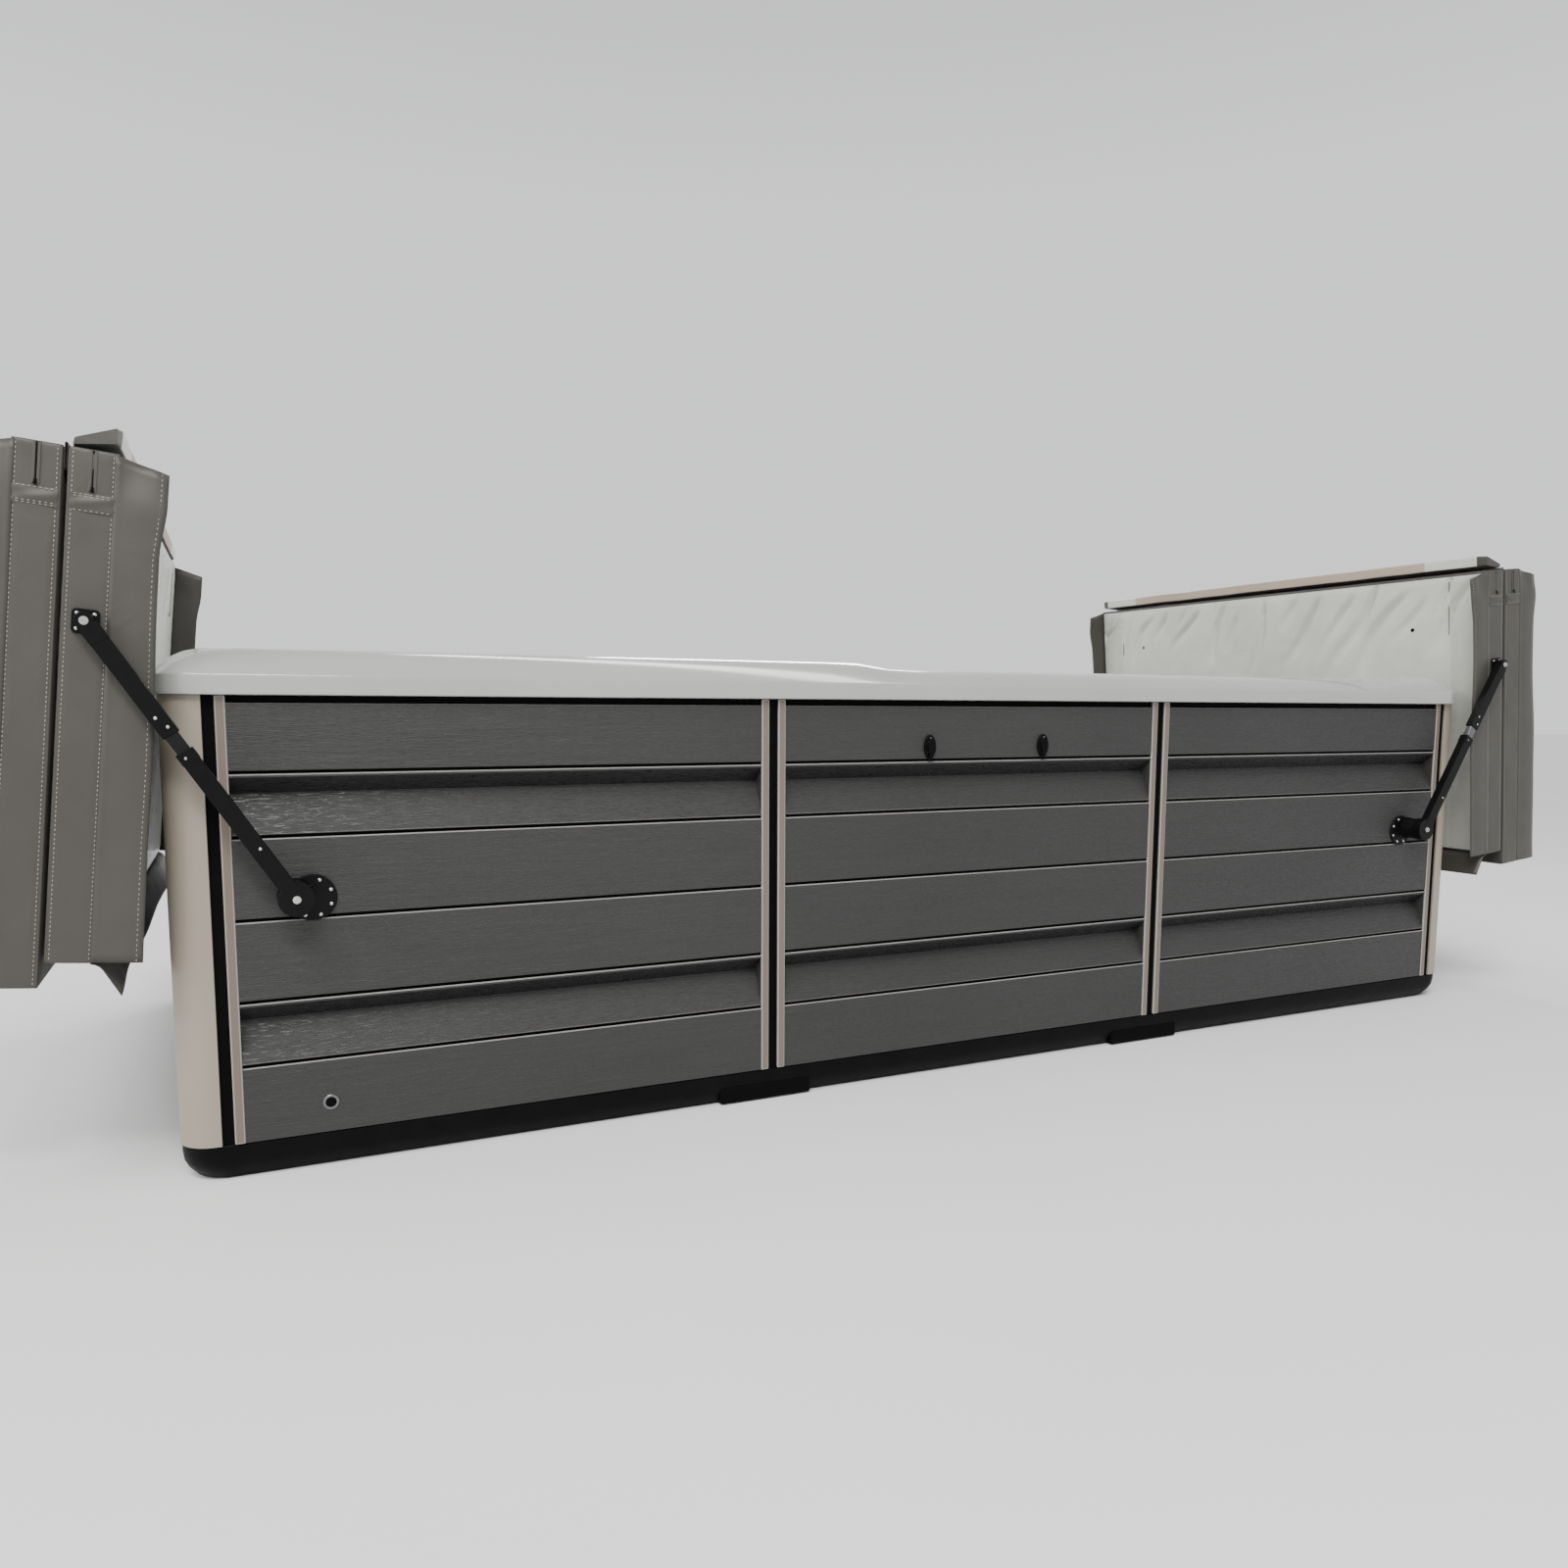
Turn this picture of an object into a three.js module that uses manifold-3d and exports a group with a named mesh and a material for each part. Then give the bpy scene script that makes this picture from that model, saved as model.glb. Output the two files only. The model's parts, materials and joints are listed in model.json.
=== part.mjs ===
// A swim spa with two bi-fold vinyl covers, each standing open at its own end on a pair of side-arm lifters.
// Millimetres, +Z up, +X along the spa, the front faces -Y. The origin is under the middle of the spa, on the floor.
import * as THREE from "three";
import { mergeVertices } from "three/addons/utils/BufferGeometryUtils.js";
import Module from "manifold-3d";

const wasm = await Module();
wasm.setup();

// ---- driving dimensions -------------------------------------------------------------------------------------
const GAP = 0.3; // between pieces that touch
const CABINET = { halfLength: 2361, halfWidth: 1100, cornerRadius: 85, bottom: 96, top: 1219 };
const BAY_PITCH = 1500; // between the black channels of the front and the back
const CHANNEL = { width: 28, recess: 8 };
const CORNER_FLAT = 12; // flat stretch of a corner post beside its round
const CORNER_WALL = 8;
const PANEL_THICKNESS = 60;
const PANEL_STILE = 25; // flat upright at each end of a boarded panel
const BOARD_LINES = [295, 458, 665, 873, 1033]; // heights of the joints between boards
const COVED_BOARDS = [1, 4]; // the boards, counted from the floor, that fold back into a V
const COVE = { depth: 50, fold: 0.7, nose: 5 }; // the fold's share of the board's height, and the nose above it
const GROOVE = { depth: 5, height: 7, wall: 2 };
const BASE = { foot: 30, floor: 8, wall: 34 }; // how far the foot draws in, the floor and wall thicknesses
const RIM = { overhang: 20, cornerRadius: 115, lipTop: 1271, crest: 1337, shoulder: 115, width: 190 };
const BASIN = { floor: 190, floorDraw: 140, cornerRadius: 170, wall: 12 };
const SEAT = { start: 1380, height: 620, wellStart: 1700, wellHalfWidth: 330 };
const FRAME = { reach: 66, bar: 50, clearance: 1 };

const COVER = { halfWidth: 1150, thickness: 100, skin: 2, lean: 5.5, skirt: 100, skirtThickness: 3 };
const LIFTED_PANEL = 1169; // length of the half that the lifter carries
const FOLDED_PANEL = 1228; // length of the half that folds back on it
const FOLD = { beyond: 4, above: 4 }; // the fold's axis from the lifted panel's hinge edge and top face
const SKIRT_TURN_IN = 12;
// The soft seal on the lifted half's hinge edge: a wedge that stands higher on the underside's side.
const HINGE_SEAL = { low: 3, lowInner: 20, high: 20, highInner: 63, inset: 10 };
const STIFFENER = { wall: 3, flange: 40 };
const ZIP_SLOT = { start: 60, length: 70, height: 3 };
const PIVOT_ON_PANEL = 785; // from the lifted panel's outer end
const UPPER_PIVOT = { x: -2485, z: 1381 }; // with the cover open
const LOWER_PIVOT = { x: -2072, z: 722 };
const FLANGE = { x: -2033, z: 713, radius: 59, thickness: 6, screwCircle: 47.5, screwHole: 3 };
const BOSS_RADIUS = 40;
const HUB = { radius: 43, near: 1150 };
const ARM = { near: 1160, far: 1190, width: 40, wall: 3.5, lowerEnd: 430, bare: 45, insert: 240, fit: 0.5 };
const BOLT = { radius: 6, hole: 6.5, headRadius: 10, headHeight: 7 };
const PLATE = { size: 56, corner: 10, thickness: 6, screws: 35, screwHole: 2.5 };
const LATCHES = { xs: [-207, 235], z: 1067, width: 38, height: 80, depth: 16, slot: 14 };
const DRAIN = { x: -2008, z: 175, radius: 20, bore: 13, depth: 12 };
const ROUND = 32; // sides of a full circle

// ---- materials ----------------------------------------------------------------------------------------------
const paint = (color, roughness, metalness = 0) => new THREE.MeshStandardMaterial({ color, roughness, metalness });
const MATERIALS = {
  board: paint(0x4b4b4c, 0.6),
  trim: paint(0xa89e8e, 0.5),
  blackPlastic: paint(0x151515, 0.6),
  frame: paint(0x0c0c0c, 0.8),
  acrylic: paint(0xd4d6d6, 0.2),
  vinyl: paint(0x646058, 0.6),
  foam: paint(0xf2f2ee, 0.9),
  blackSteel: paint(0x161616, 0.45, 0.3),
  boltSteel: paint(0xb8b8b8, 0.35, 0.9),
  aluminium: paint(0xa8abb0, 0.4, 0.9),
};

// ---- solids -------------------------------------------------------------------------------------------------
function solidOf(geometry) {
  const bare = geometry.clone();
  bare.deleteAttribute("normal");
  bare.deleteAttribute("uv");
  const merged = mergeVertices(bare, 1e-4);
  return new wasm.Manifold(
    new wasm.Mesh({
      numProp: 3,
      vertProperties: new Float32Array(merged.attributes.position.array),
      triVerts: new Uint32Array(merged.index.array),
    }),
  );
}

function geometryOf(solid) {
  const mesh = solid.getMesh();
  const geometry = new THREE.BufferGeometry();
  geometry.setAttribute("position", new THREE.BufferAttribute(new Float32Array(mesh.vertProperties), 3));
  geometry.setIndex(new THREE.BufferAttribute(new Uint32Array(mesh.triVerts), 1));
  const flat = geometry.toNonIndexed();
  flat.computeVertexNormals();
  return flat;
}

function box(low, high) {
  const size = high.map((v, i) => v - low[i]);
  const geometry = new THREE.BoxGeometry(...size);
  geometry.translate(...low.map((v, i) => v + size[i] / 2));
  return solidOf(geometry);
}

// A round bar along Y, between two depths.
function rodY(x, z, radius, yFrom, yTo, sides = ROUND) {
  const geometry = new THREE.CylinderGeometry(radius, radius, Math.abs(yTo - yFrom), sides);
  geometry.translate(x, (yFrom + yTo) / 2, z);
  return solidOf(geometry);
}

function extrudeAlongY(outline, yFrom, yTo) {
  const shape = new THREE.Shape(outline.map(([x, z]) => new THREE.Vector2(x, z)));
  const geometry = new THREE.ExtrudeGeometry(shape, { depth: yTo - yFrom, bevelEnabled: false });
  geometry.rotateX(Math.PI / 2);
  geometry.translate(0, yTo, 0);
  return solidOf(geometry);
}

// An outline of (depth, height) points, run along X between two places.
function extrudeAlongX(outline, xFrom, xTo) {
  const shape = new THREE.Shape(outline.map(([y, z]) => new THREE.Vector2(y, z)));
  const geometry = new THREE.ExtrudeGeometry(shape, { depth: xTo - xFrom, bevelEnabled: false });
  geometry.applyMatrix4(new THREE.Matrix4().set(0, 0, 1, xFrom, 1, 0, 0, 0, 0, 1, 0, 0, 0, 0, 0, 1));
  return solidOf(geometry);
}

function extrudeUp(outline, zFrom, zTo) {
  const shape = new THREE.Shape(outline.map(([x, y]) => new THREE.Vector2(x, y)));
  const geometry = new THREE.ExtrudeGeometry(shape, { depth: zTo - zFrom, bevelEnabled: false });
  geometry.translate(0, 0, zFrom);
  return solidOf(geometry);
}

function roundedRectangle(halfX, halfY, radius, steps = 6) {
  const points = [];
  const corners = [[1, 1, 0], [-1, 1, 1], [-1, -1, 2], [1, -1, 3]];
  for (const [sx, sy, quarter] of corners) {
    for (let i = 0; i <= steps; i++) {
      const angle = ((quarter + i / steps) * Math.PI) / 2;
      const x = sx * (halfX - radius) + radius * Math.cos(angle);
      const y = sy * (halfY - radius) + radius * Math.sin(angle);
      points.push([x, y]);
    }
  }
  return points;
}

// A closed skin through rings of equal length, each [outline, height], with flat ends.
function loft(rings) {
  const count = rings[0][0].length;
  const positions = rings.flatMap(([outline, z]) => outline.flatMap(([x, y]) => [x, y, z]));
  const cap = THREE.ShapeUtils.triangulateShape(rings[0][0].map(([x, y]) => new THREE.Vector2(x, y)), []);
  const index = cap.flatMap(([a, b, c]) => [a, c, b]);
  for (let r = 0; r + 1 < rings.length; r++) {
    for (let i = 0; i < count; i++) {
      const next = (i + 1) % count;
      const low = r * count;
      const high = low + count;
      index.push(low + i, low + next, high + next, low + i, high + next, high + i);
    }
  }
  const top = (rings.length - 1) * count;
  index.push(...cap.flatMap(([a, b, c]) => [top + a, top + b, top + c]));
  const geometry = new THREE.BufferGeometry();
  geometry.setAttribute("position", new THREE.BufferAttribute(new Float32Array(positions), 3));
  geometry.setIndex(index);
  return solidOf(geometry);
}

const join = (first, ...rest) => rest.reduce((whole, piece) => whole.add(piece), first);
const cut = (first, ...rest) => rest.reduce((whole, piece) => whole.subtract(piece), first);

function addPiece(group, name, solid, material) {
  const mesh = new THREE.Mesh(geometryOf(solid), MATERIALS[material]);
  mesh.name = name;
  group.add(mesh);
  return mesh;
}

// ---- base, frame and shell ----------------------------------------------------------------------------------
function basePan() {
  const { halfLength, halfWidth, cornerRadius, bottom } = CABINET;
  const ring = (inset) => roundedRectangle(halfLength - inset, halfWidth - inset, cornerRadius);
  const top = bottom - GAP;
  const outside = loft([[ring(BASE.foot), 0], [ring(8), 40], [ring(3), top]]);
  const { floor, wall } = BASE;
  const hollow = box([wall - halfLength, wall - halfWidth, floor], [halfLength - wall, halfWidth - wall, top + 1]);
  const innerCorner = roundedRectangle(halfLength - wall, halfWidth - wall, cornerRadius);
  return cut(outside, hollow.intersect(extrudeUp(innerCorner, 0, bottom + 1)));
}

function channelCentres() {
  return [-1.5, -0.5, 0.5, 1.5].map((n) => n * BAY_PITCH);
}

function endChannelCentre() {
  const cornerReach = CABINET.cornerRadius + CORNER_FLAT;
  return CABINET.halfWidth - cornerReach - CHANNEL.width / 2;
}

function cabinetFrame() {
  const outX = CABINET.halfLength - FRAME.reach;
  const outY = CABINET.halfWidth - FRAME.reach;
  const bottom = CABINET.bottom + GAP;
  const top = CABINET.top - GAP;
  const { bar } = FRAME;
  const ring = (z0, z1) =>
    cut(box([-outX, -outY, z0], [outX, outY, z1]), box([bar - outX, bar - outY, z0 - 1], [outX - bar, outY - bar, z1 + 1]));
  const half = CHANNEL.width / 2 - FRAME.clearance;
  const face = CABINET.halfWidth - CHANNEL.recess;
  const posts = channelCentres().flatMap((x) => [
    box([x - half, -face, bottom], [x + half, bar - outY, top]),
    box([x - half, outY - bar, bottom], [x + half, face, top]),
  ]);
  const endFace = CABINET.halfLength - CHANNEL.recess;
  const y = endChannelCentre();
  const endPosts = [-1, 1].flatMap((sy) =>
    [-1, 1].map((sx) => {
      const xs = [sx * (outX - bar), sx * endFace].sort((a, b) => a - b);
      return box([xs[0], sy * y - half, bottom], [xs[1], sy * y + half, top]);
    }),
  );
  return join(ring(bottom, bottom + bar), ring(top - bar, top), ...posts, ...endPosts);
}

function rimRing(inset, radius) {
  const halfX = CABINET.halfLength + RIM.overhang - inset;
  const halfY = CABINET.halfWidth + RIM.overhang - inset;
  return roundedRectangle(halfX, halfY, radius, 8);
}

function basinRing(out, draw) {
  const inset = RIM.width + draw - out;
  return rimRing(inset, BASIN.cornerRadius + out);
}

function spaShell() {
  const { lipTop, crest, shoulder, cornerRadius } = RIM;
  const rise = crest - lipTop;
  const shoulderSteps = 5;
  const rings = [[rimRing(0, cornerRadius), CABINET.top + GAP]];
  for (let i = 0; i <= shoulderSteps; i++) {
    const angle = (i / shoulderSteps) * (Math.PI / 2);
    const inset = 4 + (shoulder - 4) * (1 - Math.cos(angle));
    rings.push([rimRing(inset, cornerRadius), lipTop + rise * Math.sin(angle)]);
  }
  const rim = loft(rings);
  const basinOutside = loft([
    [basinRing(BASIN.wall, BASIN.floorDraw), BASIN.floor - BASIN.wall],
    [basinRing(BASIN.wall, 0), crest - 1],
  ]);
  const water = loft([[basinRing(0, BASIN.floorDraw), BASIN.floor], [basinRing(0, 0), crest + 1]]);
  const bench = box([SEAT.start, -CABINET.halfWidth, 0], [CABINET.halfLength, CABINET.halfWidth, SEAT.height]);
  const well = box([0, -SEAT.wellHalfWidth, 0], [SEAT.wellStart, SEAT.wellHalfWidth, crest]);
  return cut(join(rim, basinOutside), cut(water, cut(bench, well)));
}

// ---- cabinet panels -----------------------------------------------------------------------------------------
// A corner post for the +X, -Y corner: a quarter round with a short flat on either side.
function cornerPost() {
  const { halfLength, halfWidth, cornerRadius } = CABINET;
  const centre = [halfLength - cornerRadius, cornerRadius - halfWidth];
  const arc = (radius) => {
    const points = [];
    for (let i = 0; i <= 10; i++) {
      const angle = (-Math.PI / 2) * (1 - i / 10);
      points.push([centre[0] + radius * Math.cos(angle), centre[1] + radius * Math.sin(angle)]);
    }
    return points;
  };
  const inner = cornerRadius - CORNER_WALL;
  const outline = [
    [centre[0] - CORNER_FLAT, -halfWidth],
    ...arc(cornerRadius),
    [halfLength, centre[1] + CORNER_FLAT],
    [halfLength - CORNER_WALL, centre[1] + CORNER_FLAT],
    ...arc(inner).reverse(),
    [centre[0] - CORNER_FLAT, CORNER_WALL - halfWidth],
  ];
  return extrudeUp(outline, CABINET.bottom + GAP, CABINET.top - GAP);
}

// The boards' outline, from the face at depth 0 to the back, for a panel that faces -Y.
function boardOutline() {
  const bottom = CABINET.bottom + GAP;
  const top = CABINET.top - GAP;
  const points = [[0, bottom]];
  BOARD_LINES.forEach((line, i) => {
    const shoulder = line - GROOVE.height;
    if (COVED_BOARDS.includes(i)) {
      const low = BOARD_LINES[i - 1] + GROOVE.wall;
      const high = shoulder - COVE.nose;
      points.push([0, low], [COVE.depth, low + COVE.fold * (high - low)], [0, high]);
    }
    points.push([0, shoulder], [GROOVE.depth, line - GROOVE.wall], [GROOVE.depth, line], [0, line]);
  });
  points.push([0, top], [PANEL_THICKNESS, top], [PANEL_THICKNESS, bottom]);
  return points;
}

function boardedPanel(halfLength) {
  const length = halfLength - FRAME.clearance / 2;
  const bottom = CABINET.bottom + GAP;
  const top = CABINET.top - GAP;
  const boards = extrudeAlongX(boardOutline(), -length, length);
  const stile = (x0, x1) => box([x0, 0, bottom], [x1, PANEL_THICKNESS, top]);
  return join(boards, stile(-length, PANEL_STILE - length), stile(length - PANEL_STILE, length));
}

function addPanels(spa) {
  const bayHalf = (BAY_PITCH - CHANNEL.width) / 2;
  ["left", "middle", "right"].forEach((place, i) => {
    const front = addPiece(spa, `front_panel_${place}`, boardedPanel(bayHalf), "board");
    front.position.set((i - 1) * BAY_PITCH, -CABINET.halfWidth, 0);
    const back = addPiece(spa, `rear_panel_${place}`, boardedPanel(bayHalf), "board");
    back.position.set((i - 1) * BAY_PITCH, CABINET.halfWidth, 0);
    back.rotation.z = Math.PI;
  });
  const endHalf = endChannelCentre() - CHANNEL.width / 2;
  const ends = [["left", -1], ["right", 1]];
  for (const [place, side] of ends) {
    const panel = addPiece(spa, `end_panel_${place}`, boardedPanel(endHalf), "board");
    panel.position.set(side * CABINET.halfLength, 0, 0);
    panel.rotation.z = (side * Math.PI) / 2;
  }
}

function addCornerPosts(spa) {
  const corners = [["front_right", 1, 1], ["front_left", -1, 1], ["rear_right", 1, -1], ["rear_left", -1, -1]];
  for (const [place, sx, sy] of corners) {
    addPiece(spa, `corner_post_${place}`, cornerPost(), "trim").scale.set(sx, sy, 1);
  }
}

// ---- fittings on the front ----------------------------------------------------------------------------------
function latchReceptacle() {
  const { width, height, depth, slot } = LATCHES;
  const face = -CABINET.halfWidth - GAP;
  const end = height / 2 - width / 2;
  const body = join(
    rodY(0, end, width / 2, face - depth, face, 24),
    box([-width / 3, face - depth, -end], [width / 3, face, end]),
    rodY(0, -end, width / 3, face - depth, face, 24),
  );
  const socket = box([-slot / 2, face - depth - 1, end - 6], [slot / 2, face - 4, end + 6]);
  return cut(body, socket);
}

function drainFitting() {
  const face = -CABINET.halfWidth - GAP;
  const collar = rodY(0, 0, DRAIN.radius, face - 3, face, 24);
  return cut(collar, rodY(0, 0, DRAIN.bore, face - 4, face + 1, 24));
}

function addFrontFittings(spa) {
  ["left", "right"].forEach((place, i) => {
    const latch = addPiece(spa, `latch_receptacle_${place}`, latchReceptacle(), "blackPlastic");
    latch.position.set(LATCHES.xs[i], 0, LATCHES.z);
  });
  addPiece(spa, "drain_fitting", drainFitting(), "blackPlastic").position.set(DRAIN.x, 0, DRAIN.z);
}

// ---- lifters, for the front of the left end -----------------------------------------------------------------
function screwHoles(count, radius, hole, yFrom, yTo, x, z, turn = 0) {
  const holes = [];
  for (let i = 0; i < count; i++) {
    const angle = ((i + turn) / count) * 2 * Math.PI;
    holes.push(rodY(x + radius * Math.cos(angle), z + radius * Math.sin(angle), hole, yFrom, yTo, 10));
  }
  return holes;
}

function mountingBracket() {
  const face = -CABINET.halfWidth - GAP;
  const outer = face - FLANGE.thickness;
  const flange = rodY(FLANGE.x, FLANGE.z, FLANGE.radius, outer, face, 40);
  const bossFace = -HUB.near + GAP;
  const boss = rodY(LOWER_PIVOT.x, LOWER_PIVOT.z, BOSS_RADIUS, bossFace, face, ROUND);
  const reach = (FLANGE.x - LOWER_PIVOT.x) / 2;
  const web = box([LOWER_PIVOT.x, outer - 20, FLANGE.z - 20], [FLANGE.x + reach, outer + 1, FLANGE.z + 20]);
  const bore = rodY(LOWER_PIVOT.x, LOWER_PIVOT.z, BOLT.hole, bossFace - 1, face - 10, 24);
  const holes = screwHoles(8, FLANGE.screwCircle, FLANGE.screwHole, outer - 1, face + 1, FLANGE.x, FLANGE.z, 0.5);
  const free = holes.filter((_, i) => Math.cos(((i + 0.5) / 8) * 2 * Math.PI) > 0);
  return cut(join(flange, boss, web), bore, ...free);
}

function pivotBolt(x, z, tip, washerFace) {
  const shank = rodY(x, z, BOLT.radius, washerFace - 1, tip, 20);
  const head = rodY(x, z, BOLT.headRadius, washerFace - BOLT.headHeight, washerFace - GAP, 6);
  return join(shank, head);
}

// Turns a piece that runs up from the lower pivot so that it points at the upper pivot.
function alongArm(solid) {
  const rise = UPPER_PIVOT.z - LOWER_PIVOT.z;
  const run = UPPER_PIVOT.x - LOWER_PIVOT.x;
  const turn = new THREE.Matrix4().makeRotationY(Math.atan2(run, rise));
  turn.setPosition(LOWER_PIVOT.x, 0, LOWER_PIVOT.z);
  return solid.transform(turn.elements);
}

function armLength() {
  return Math.hypot(UPPER_PIVOT.z - LOWER_PIVOT.z, UPPER_PIVOT.x - LOWER_PIVOT.x);
}

function armBar(inset, from, to) {
  const half = ARM.width / 2 - inset;
  return box([-half, -ARM.far + inset, from], [half, -ARM.near - inset, to]);
}

function lowerArm() {
  const hub = rodY(0, 0, HUB.radius, -ARM.far, -HUB.near, ROUND);
  const tube = armBar(0, 0, ARM.lowerEnd);
  const socketEnd = ARM.lowerEnd - ARM.insert - 20;
  const socket = armBar(ARM.wall, socketEnd, ARM.lowerEnd + 1);
  const bore = rodY(0, 0, BOLT.hole, -ARM.far - 1, -HUB.near + 1, 24);
  return alongArm(cut(join(hub, tube), socket, bore));
}

function upperArm() {
  const length = armLength();
  const start = ARM.lowerEnd + ARM.bare;
  const tube = armBar(0, start, length - 6);
  const eye = rodY(0, length, ARM.width / 2, -ARM.far, -ARM.near, ROUND);
  const insert = armBar(ARM.wall + ARM.fit, ARM.lowerEnd - ARM.insert, start + 1);
  const bore = rodY(0, length, BOLT.hole, -ARM.far - 1, -ARM.near + 1, 24);
  return alongArm(cut(join(tube, eye, insert), bore));
}

function addLifter(end, place) {
  addPiece(end, `${place}_bracket`, mountingBracket(), "blackSteel");
  const lowerTip = -CABINET.halfWidth - 14;
  const lowerBolt = pivotBolt(LOWER_PIVOT.x, LOWER_PIVOT.z, lowerTip, -ARM.far);
  addPiece(end, `${place}_lower_bolt`, lowerBolt, "boltSteel");
  addPiece(end, `${place}_lower_arm`, lowerArm(), "blackSteel");
  addPiece(end, `${place}_upper_arm`, upperArm(), "blackSteel");
  const upperBolt = pivotBolt(UPPER_PIVOT.x, UPPER_PIVOT.z, -COVER.halfWidth - 2, -ARM.far);
  addPiece(end, `${place}_upper_bolt`, upperBolt, "boltSteel");
}

// ---- covers, drawn closed: X from the outer end to the hinge edge, Z up from the underside ------------------
function coverSkin(length, zipFrom) {
  const { halfWidth, thickness, skin } = COVER;
  const outside = box([0, -halfWidth, 0], [length, halfWidth, thickness]);
  const inside = box([skin, skin - halfWidth, skin], [length - skin, halfWidth - skin, thickness - skin]);
  const middle = thickness / 2;
  const { height } = ZIP_SLOT;
  const slot = box([zipFrom, -halfWidth - 1, middle - height / 2], [zipFrom + ZIP_SLOT.length, 0, middle + height / 2]);
  return cut(outside, inside, slot);
}

function channelAt(length, hingeAtEnd) {
  const inner = COVER.skin + GAP;
  const { wall, flange } = STIFFENER;
  const halfWidth = COVER.halfWidth - inner - 20;
  const low = [hingeAtEnd ? length - inner - flange : inner, -halfWidth, inner];
  const high = [hingeAtEnd ? length - inner : inner + flange, halfWidth, COVER.thickness - inner];
  const web = hingeAtEnd ? [low[0] - 1, high[0] - wall] : [low[0] + wall, high[0] + 1];
  const hollow = box([web[0], -halfWidth - 1, low[2] + wall], [web[1], halfWidth + 1, high[2] - wall]);
  return cut(box(low, high), hollow);
}

function foamCore(length, hingeAtEnd) {
  const inner = COVER.skin + GAP;
  const step = STIFFENER.wall + GAP;
  const { flange } = STIFFENER;
  const ends = hingeAtEnd ? [inner, length - inner - flange - GAP] : [inner + flange + GAP, length - inner];
  const tongue = hingeAtEnd ? [ends[1] - 1, length - inner - step] : [inner + step, ends[0] + 1];
  const halfWidth = COVER.halfWidth - inner;
  const top = COVER.thickness - inner;
  return join(
    box([ends[0], -halfWidth, inner], [ends[1], halfWidth, top]),
    box([tongue[0], -halfWidth + 21, inner + step], [tongue[1], halfWidth - 21, top - step]),
  );
}

// The skirt hangs from the underside's edges: both long sides, and the outer end where there is one.
function skirt(length, outerEnd) {
  const { halfWidth, skirtThickness } = COVER;
  const low = -COVER.skirt;
  const top = -GAP;
  if (outerEnd) {
    const inner = halfWidth - skirtThickness;
    const outline = [
      [0, -halfWidth],
      [length, -halfWidth],
      [length, -inner],
      [skirtThickness, -inner],
      [skirtThickness, inner],
      [length, inner],
      [length, halfWidth],
      [0, halfWidth],
    ];
    return extrudeUp(outline, low, top);
  }
  const side = (y) => box([0, y, low], [length, y + skirtThickness, top]);
  // A sewn turn-in under the panel joins the two sides.
  const turnIn = box([length - SKIRT_TURN_IN, 1 - halfWidth, top - 2], [length - 1, halfWidth - 1, top - 0.5]);
  return join(side(-halfWidth), side(halfWidth - skirtThickness), turnIn);
}

function coverPlate() {
  const { size, corner, thickness, screws, screwHole } = PLATE;
  const y = -COVER.halfWidth - GAP;
  const outline = roundedRectangle(size / 2, size / 2, corner, 4);
  const bore = rodY(0, 0, BOLT.hole, y - thickness - 1, y + 1, 24);
  const diagonal = (screws / 2) * Math.SQRT2;
  const holes = screwHoles(4, diagonal, screwHole, y - thickness - 1, y + 1, 0, 0, 0.5);
  return cut(extrudeAlongY(outline, y - thickness, y), bore, ...holes);
}

function hingeSeal() {
  const { low, lowInner, high, highInner, inset } = HINGE_SEAL;
  const top = COVER.thickness;
  const outline = [
    [LIFTED_PANEL + lowInner, 0],
    [LIFTED_PANEL + highInner, 0],
    [LIFTED_PANEL + high, top],
    [LIFTED_PANEL + low, top],
  ];
  return extrudeAlongY(outline, inset - COVER.halfWidth, COVER.halfWidth - inset);
}

function addCover(end, side) {
  const lifted = new THREE.Group();
  const turn = THREE.MathUtils.degToRad(90 - COVER.lean);
  const offset = new THREE.Vector3(-PIVOT_ON_PANEL, 0, -COVER.thickness / 2);
  offset.applyAxisAngle(new THREE.Vector3(0, 1, 0), -turn);
  lifted.rotation.y = -turn;
  lifted.position.set(UPPER_PIVOT.x + offset.x, 0, UPPER_PIVOT.z + offset.z);
  end.add(lifted);

  const zip = LIFTED_PANEL - ZIP_SLOT.start - ZIP_SLOT.length;
  addPiece(lifted, `${side}_lifted_skin`, coverSkin(LIFTED_PANEL, zip), "vinyl");
  addPiece(lifted, `${side}_lifted_core`, foamCore(LIFTED_PANEL, true), "foam");
  addPiece(lifted, `${side}_lifted_stiffener`, channelAt(LIFTED_PANEL, true), "aluminium");
  addPiece(lifted, `${side}_lifted_skirt`, skirt(LIFTED_PANEL, true), "vinyl");
  addPiece(lifted, `${side}_hinge_seal`, hingeSeal(), "vinyl");
  for (const [place, sy] of [["front", 1], ["rear", -1]]) {
    const plate = addPiece(lifted, `${side}_${place}_cover_plate`, coverPlate(), "blackSteel");
    plate.position.set(PIVOT_ON_PANEL, 0, COVER.thickness / 2);
    plate.scale.set(1, sy, 1);
  }

  const folded = new THREE.Group();
  folded.position.set(LIFTED_PANEL + FOLD.beyond, 0, COVER.thickness + FOLD.above);
  folded.rotation.y = Math.PI;
  const unfolded = new THREE.Group();
  unfolded.position.set(FOLD.beyond, 0, -COVER.thickness - FOLD.above);
  lifted.add(folded);
  folded.add(unfolded);
  addPiece(unfolded, `${side}_folded_skin`, coverSkin(FOLDED_PANEL, ZIP_SLOT.start), "vinyl");
  addPiece(unfolded, `${side}_folded_core`, foamCore(FOLDED_PANEL, false), "foam");
  addPiece(unfolded, `${side}_folded_stiffener`, channelAt(FOLDED_PANEL, false), "aluminium");
  addPiece(unfolded, `${side}_folded_skirt`, skirt(FOLDED_PANEL, false), "vinyl");
}

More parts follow.
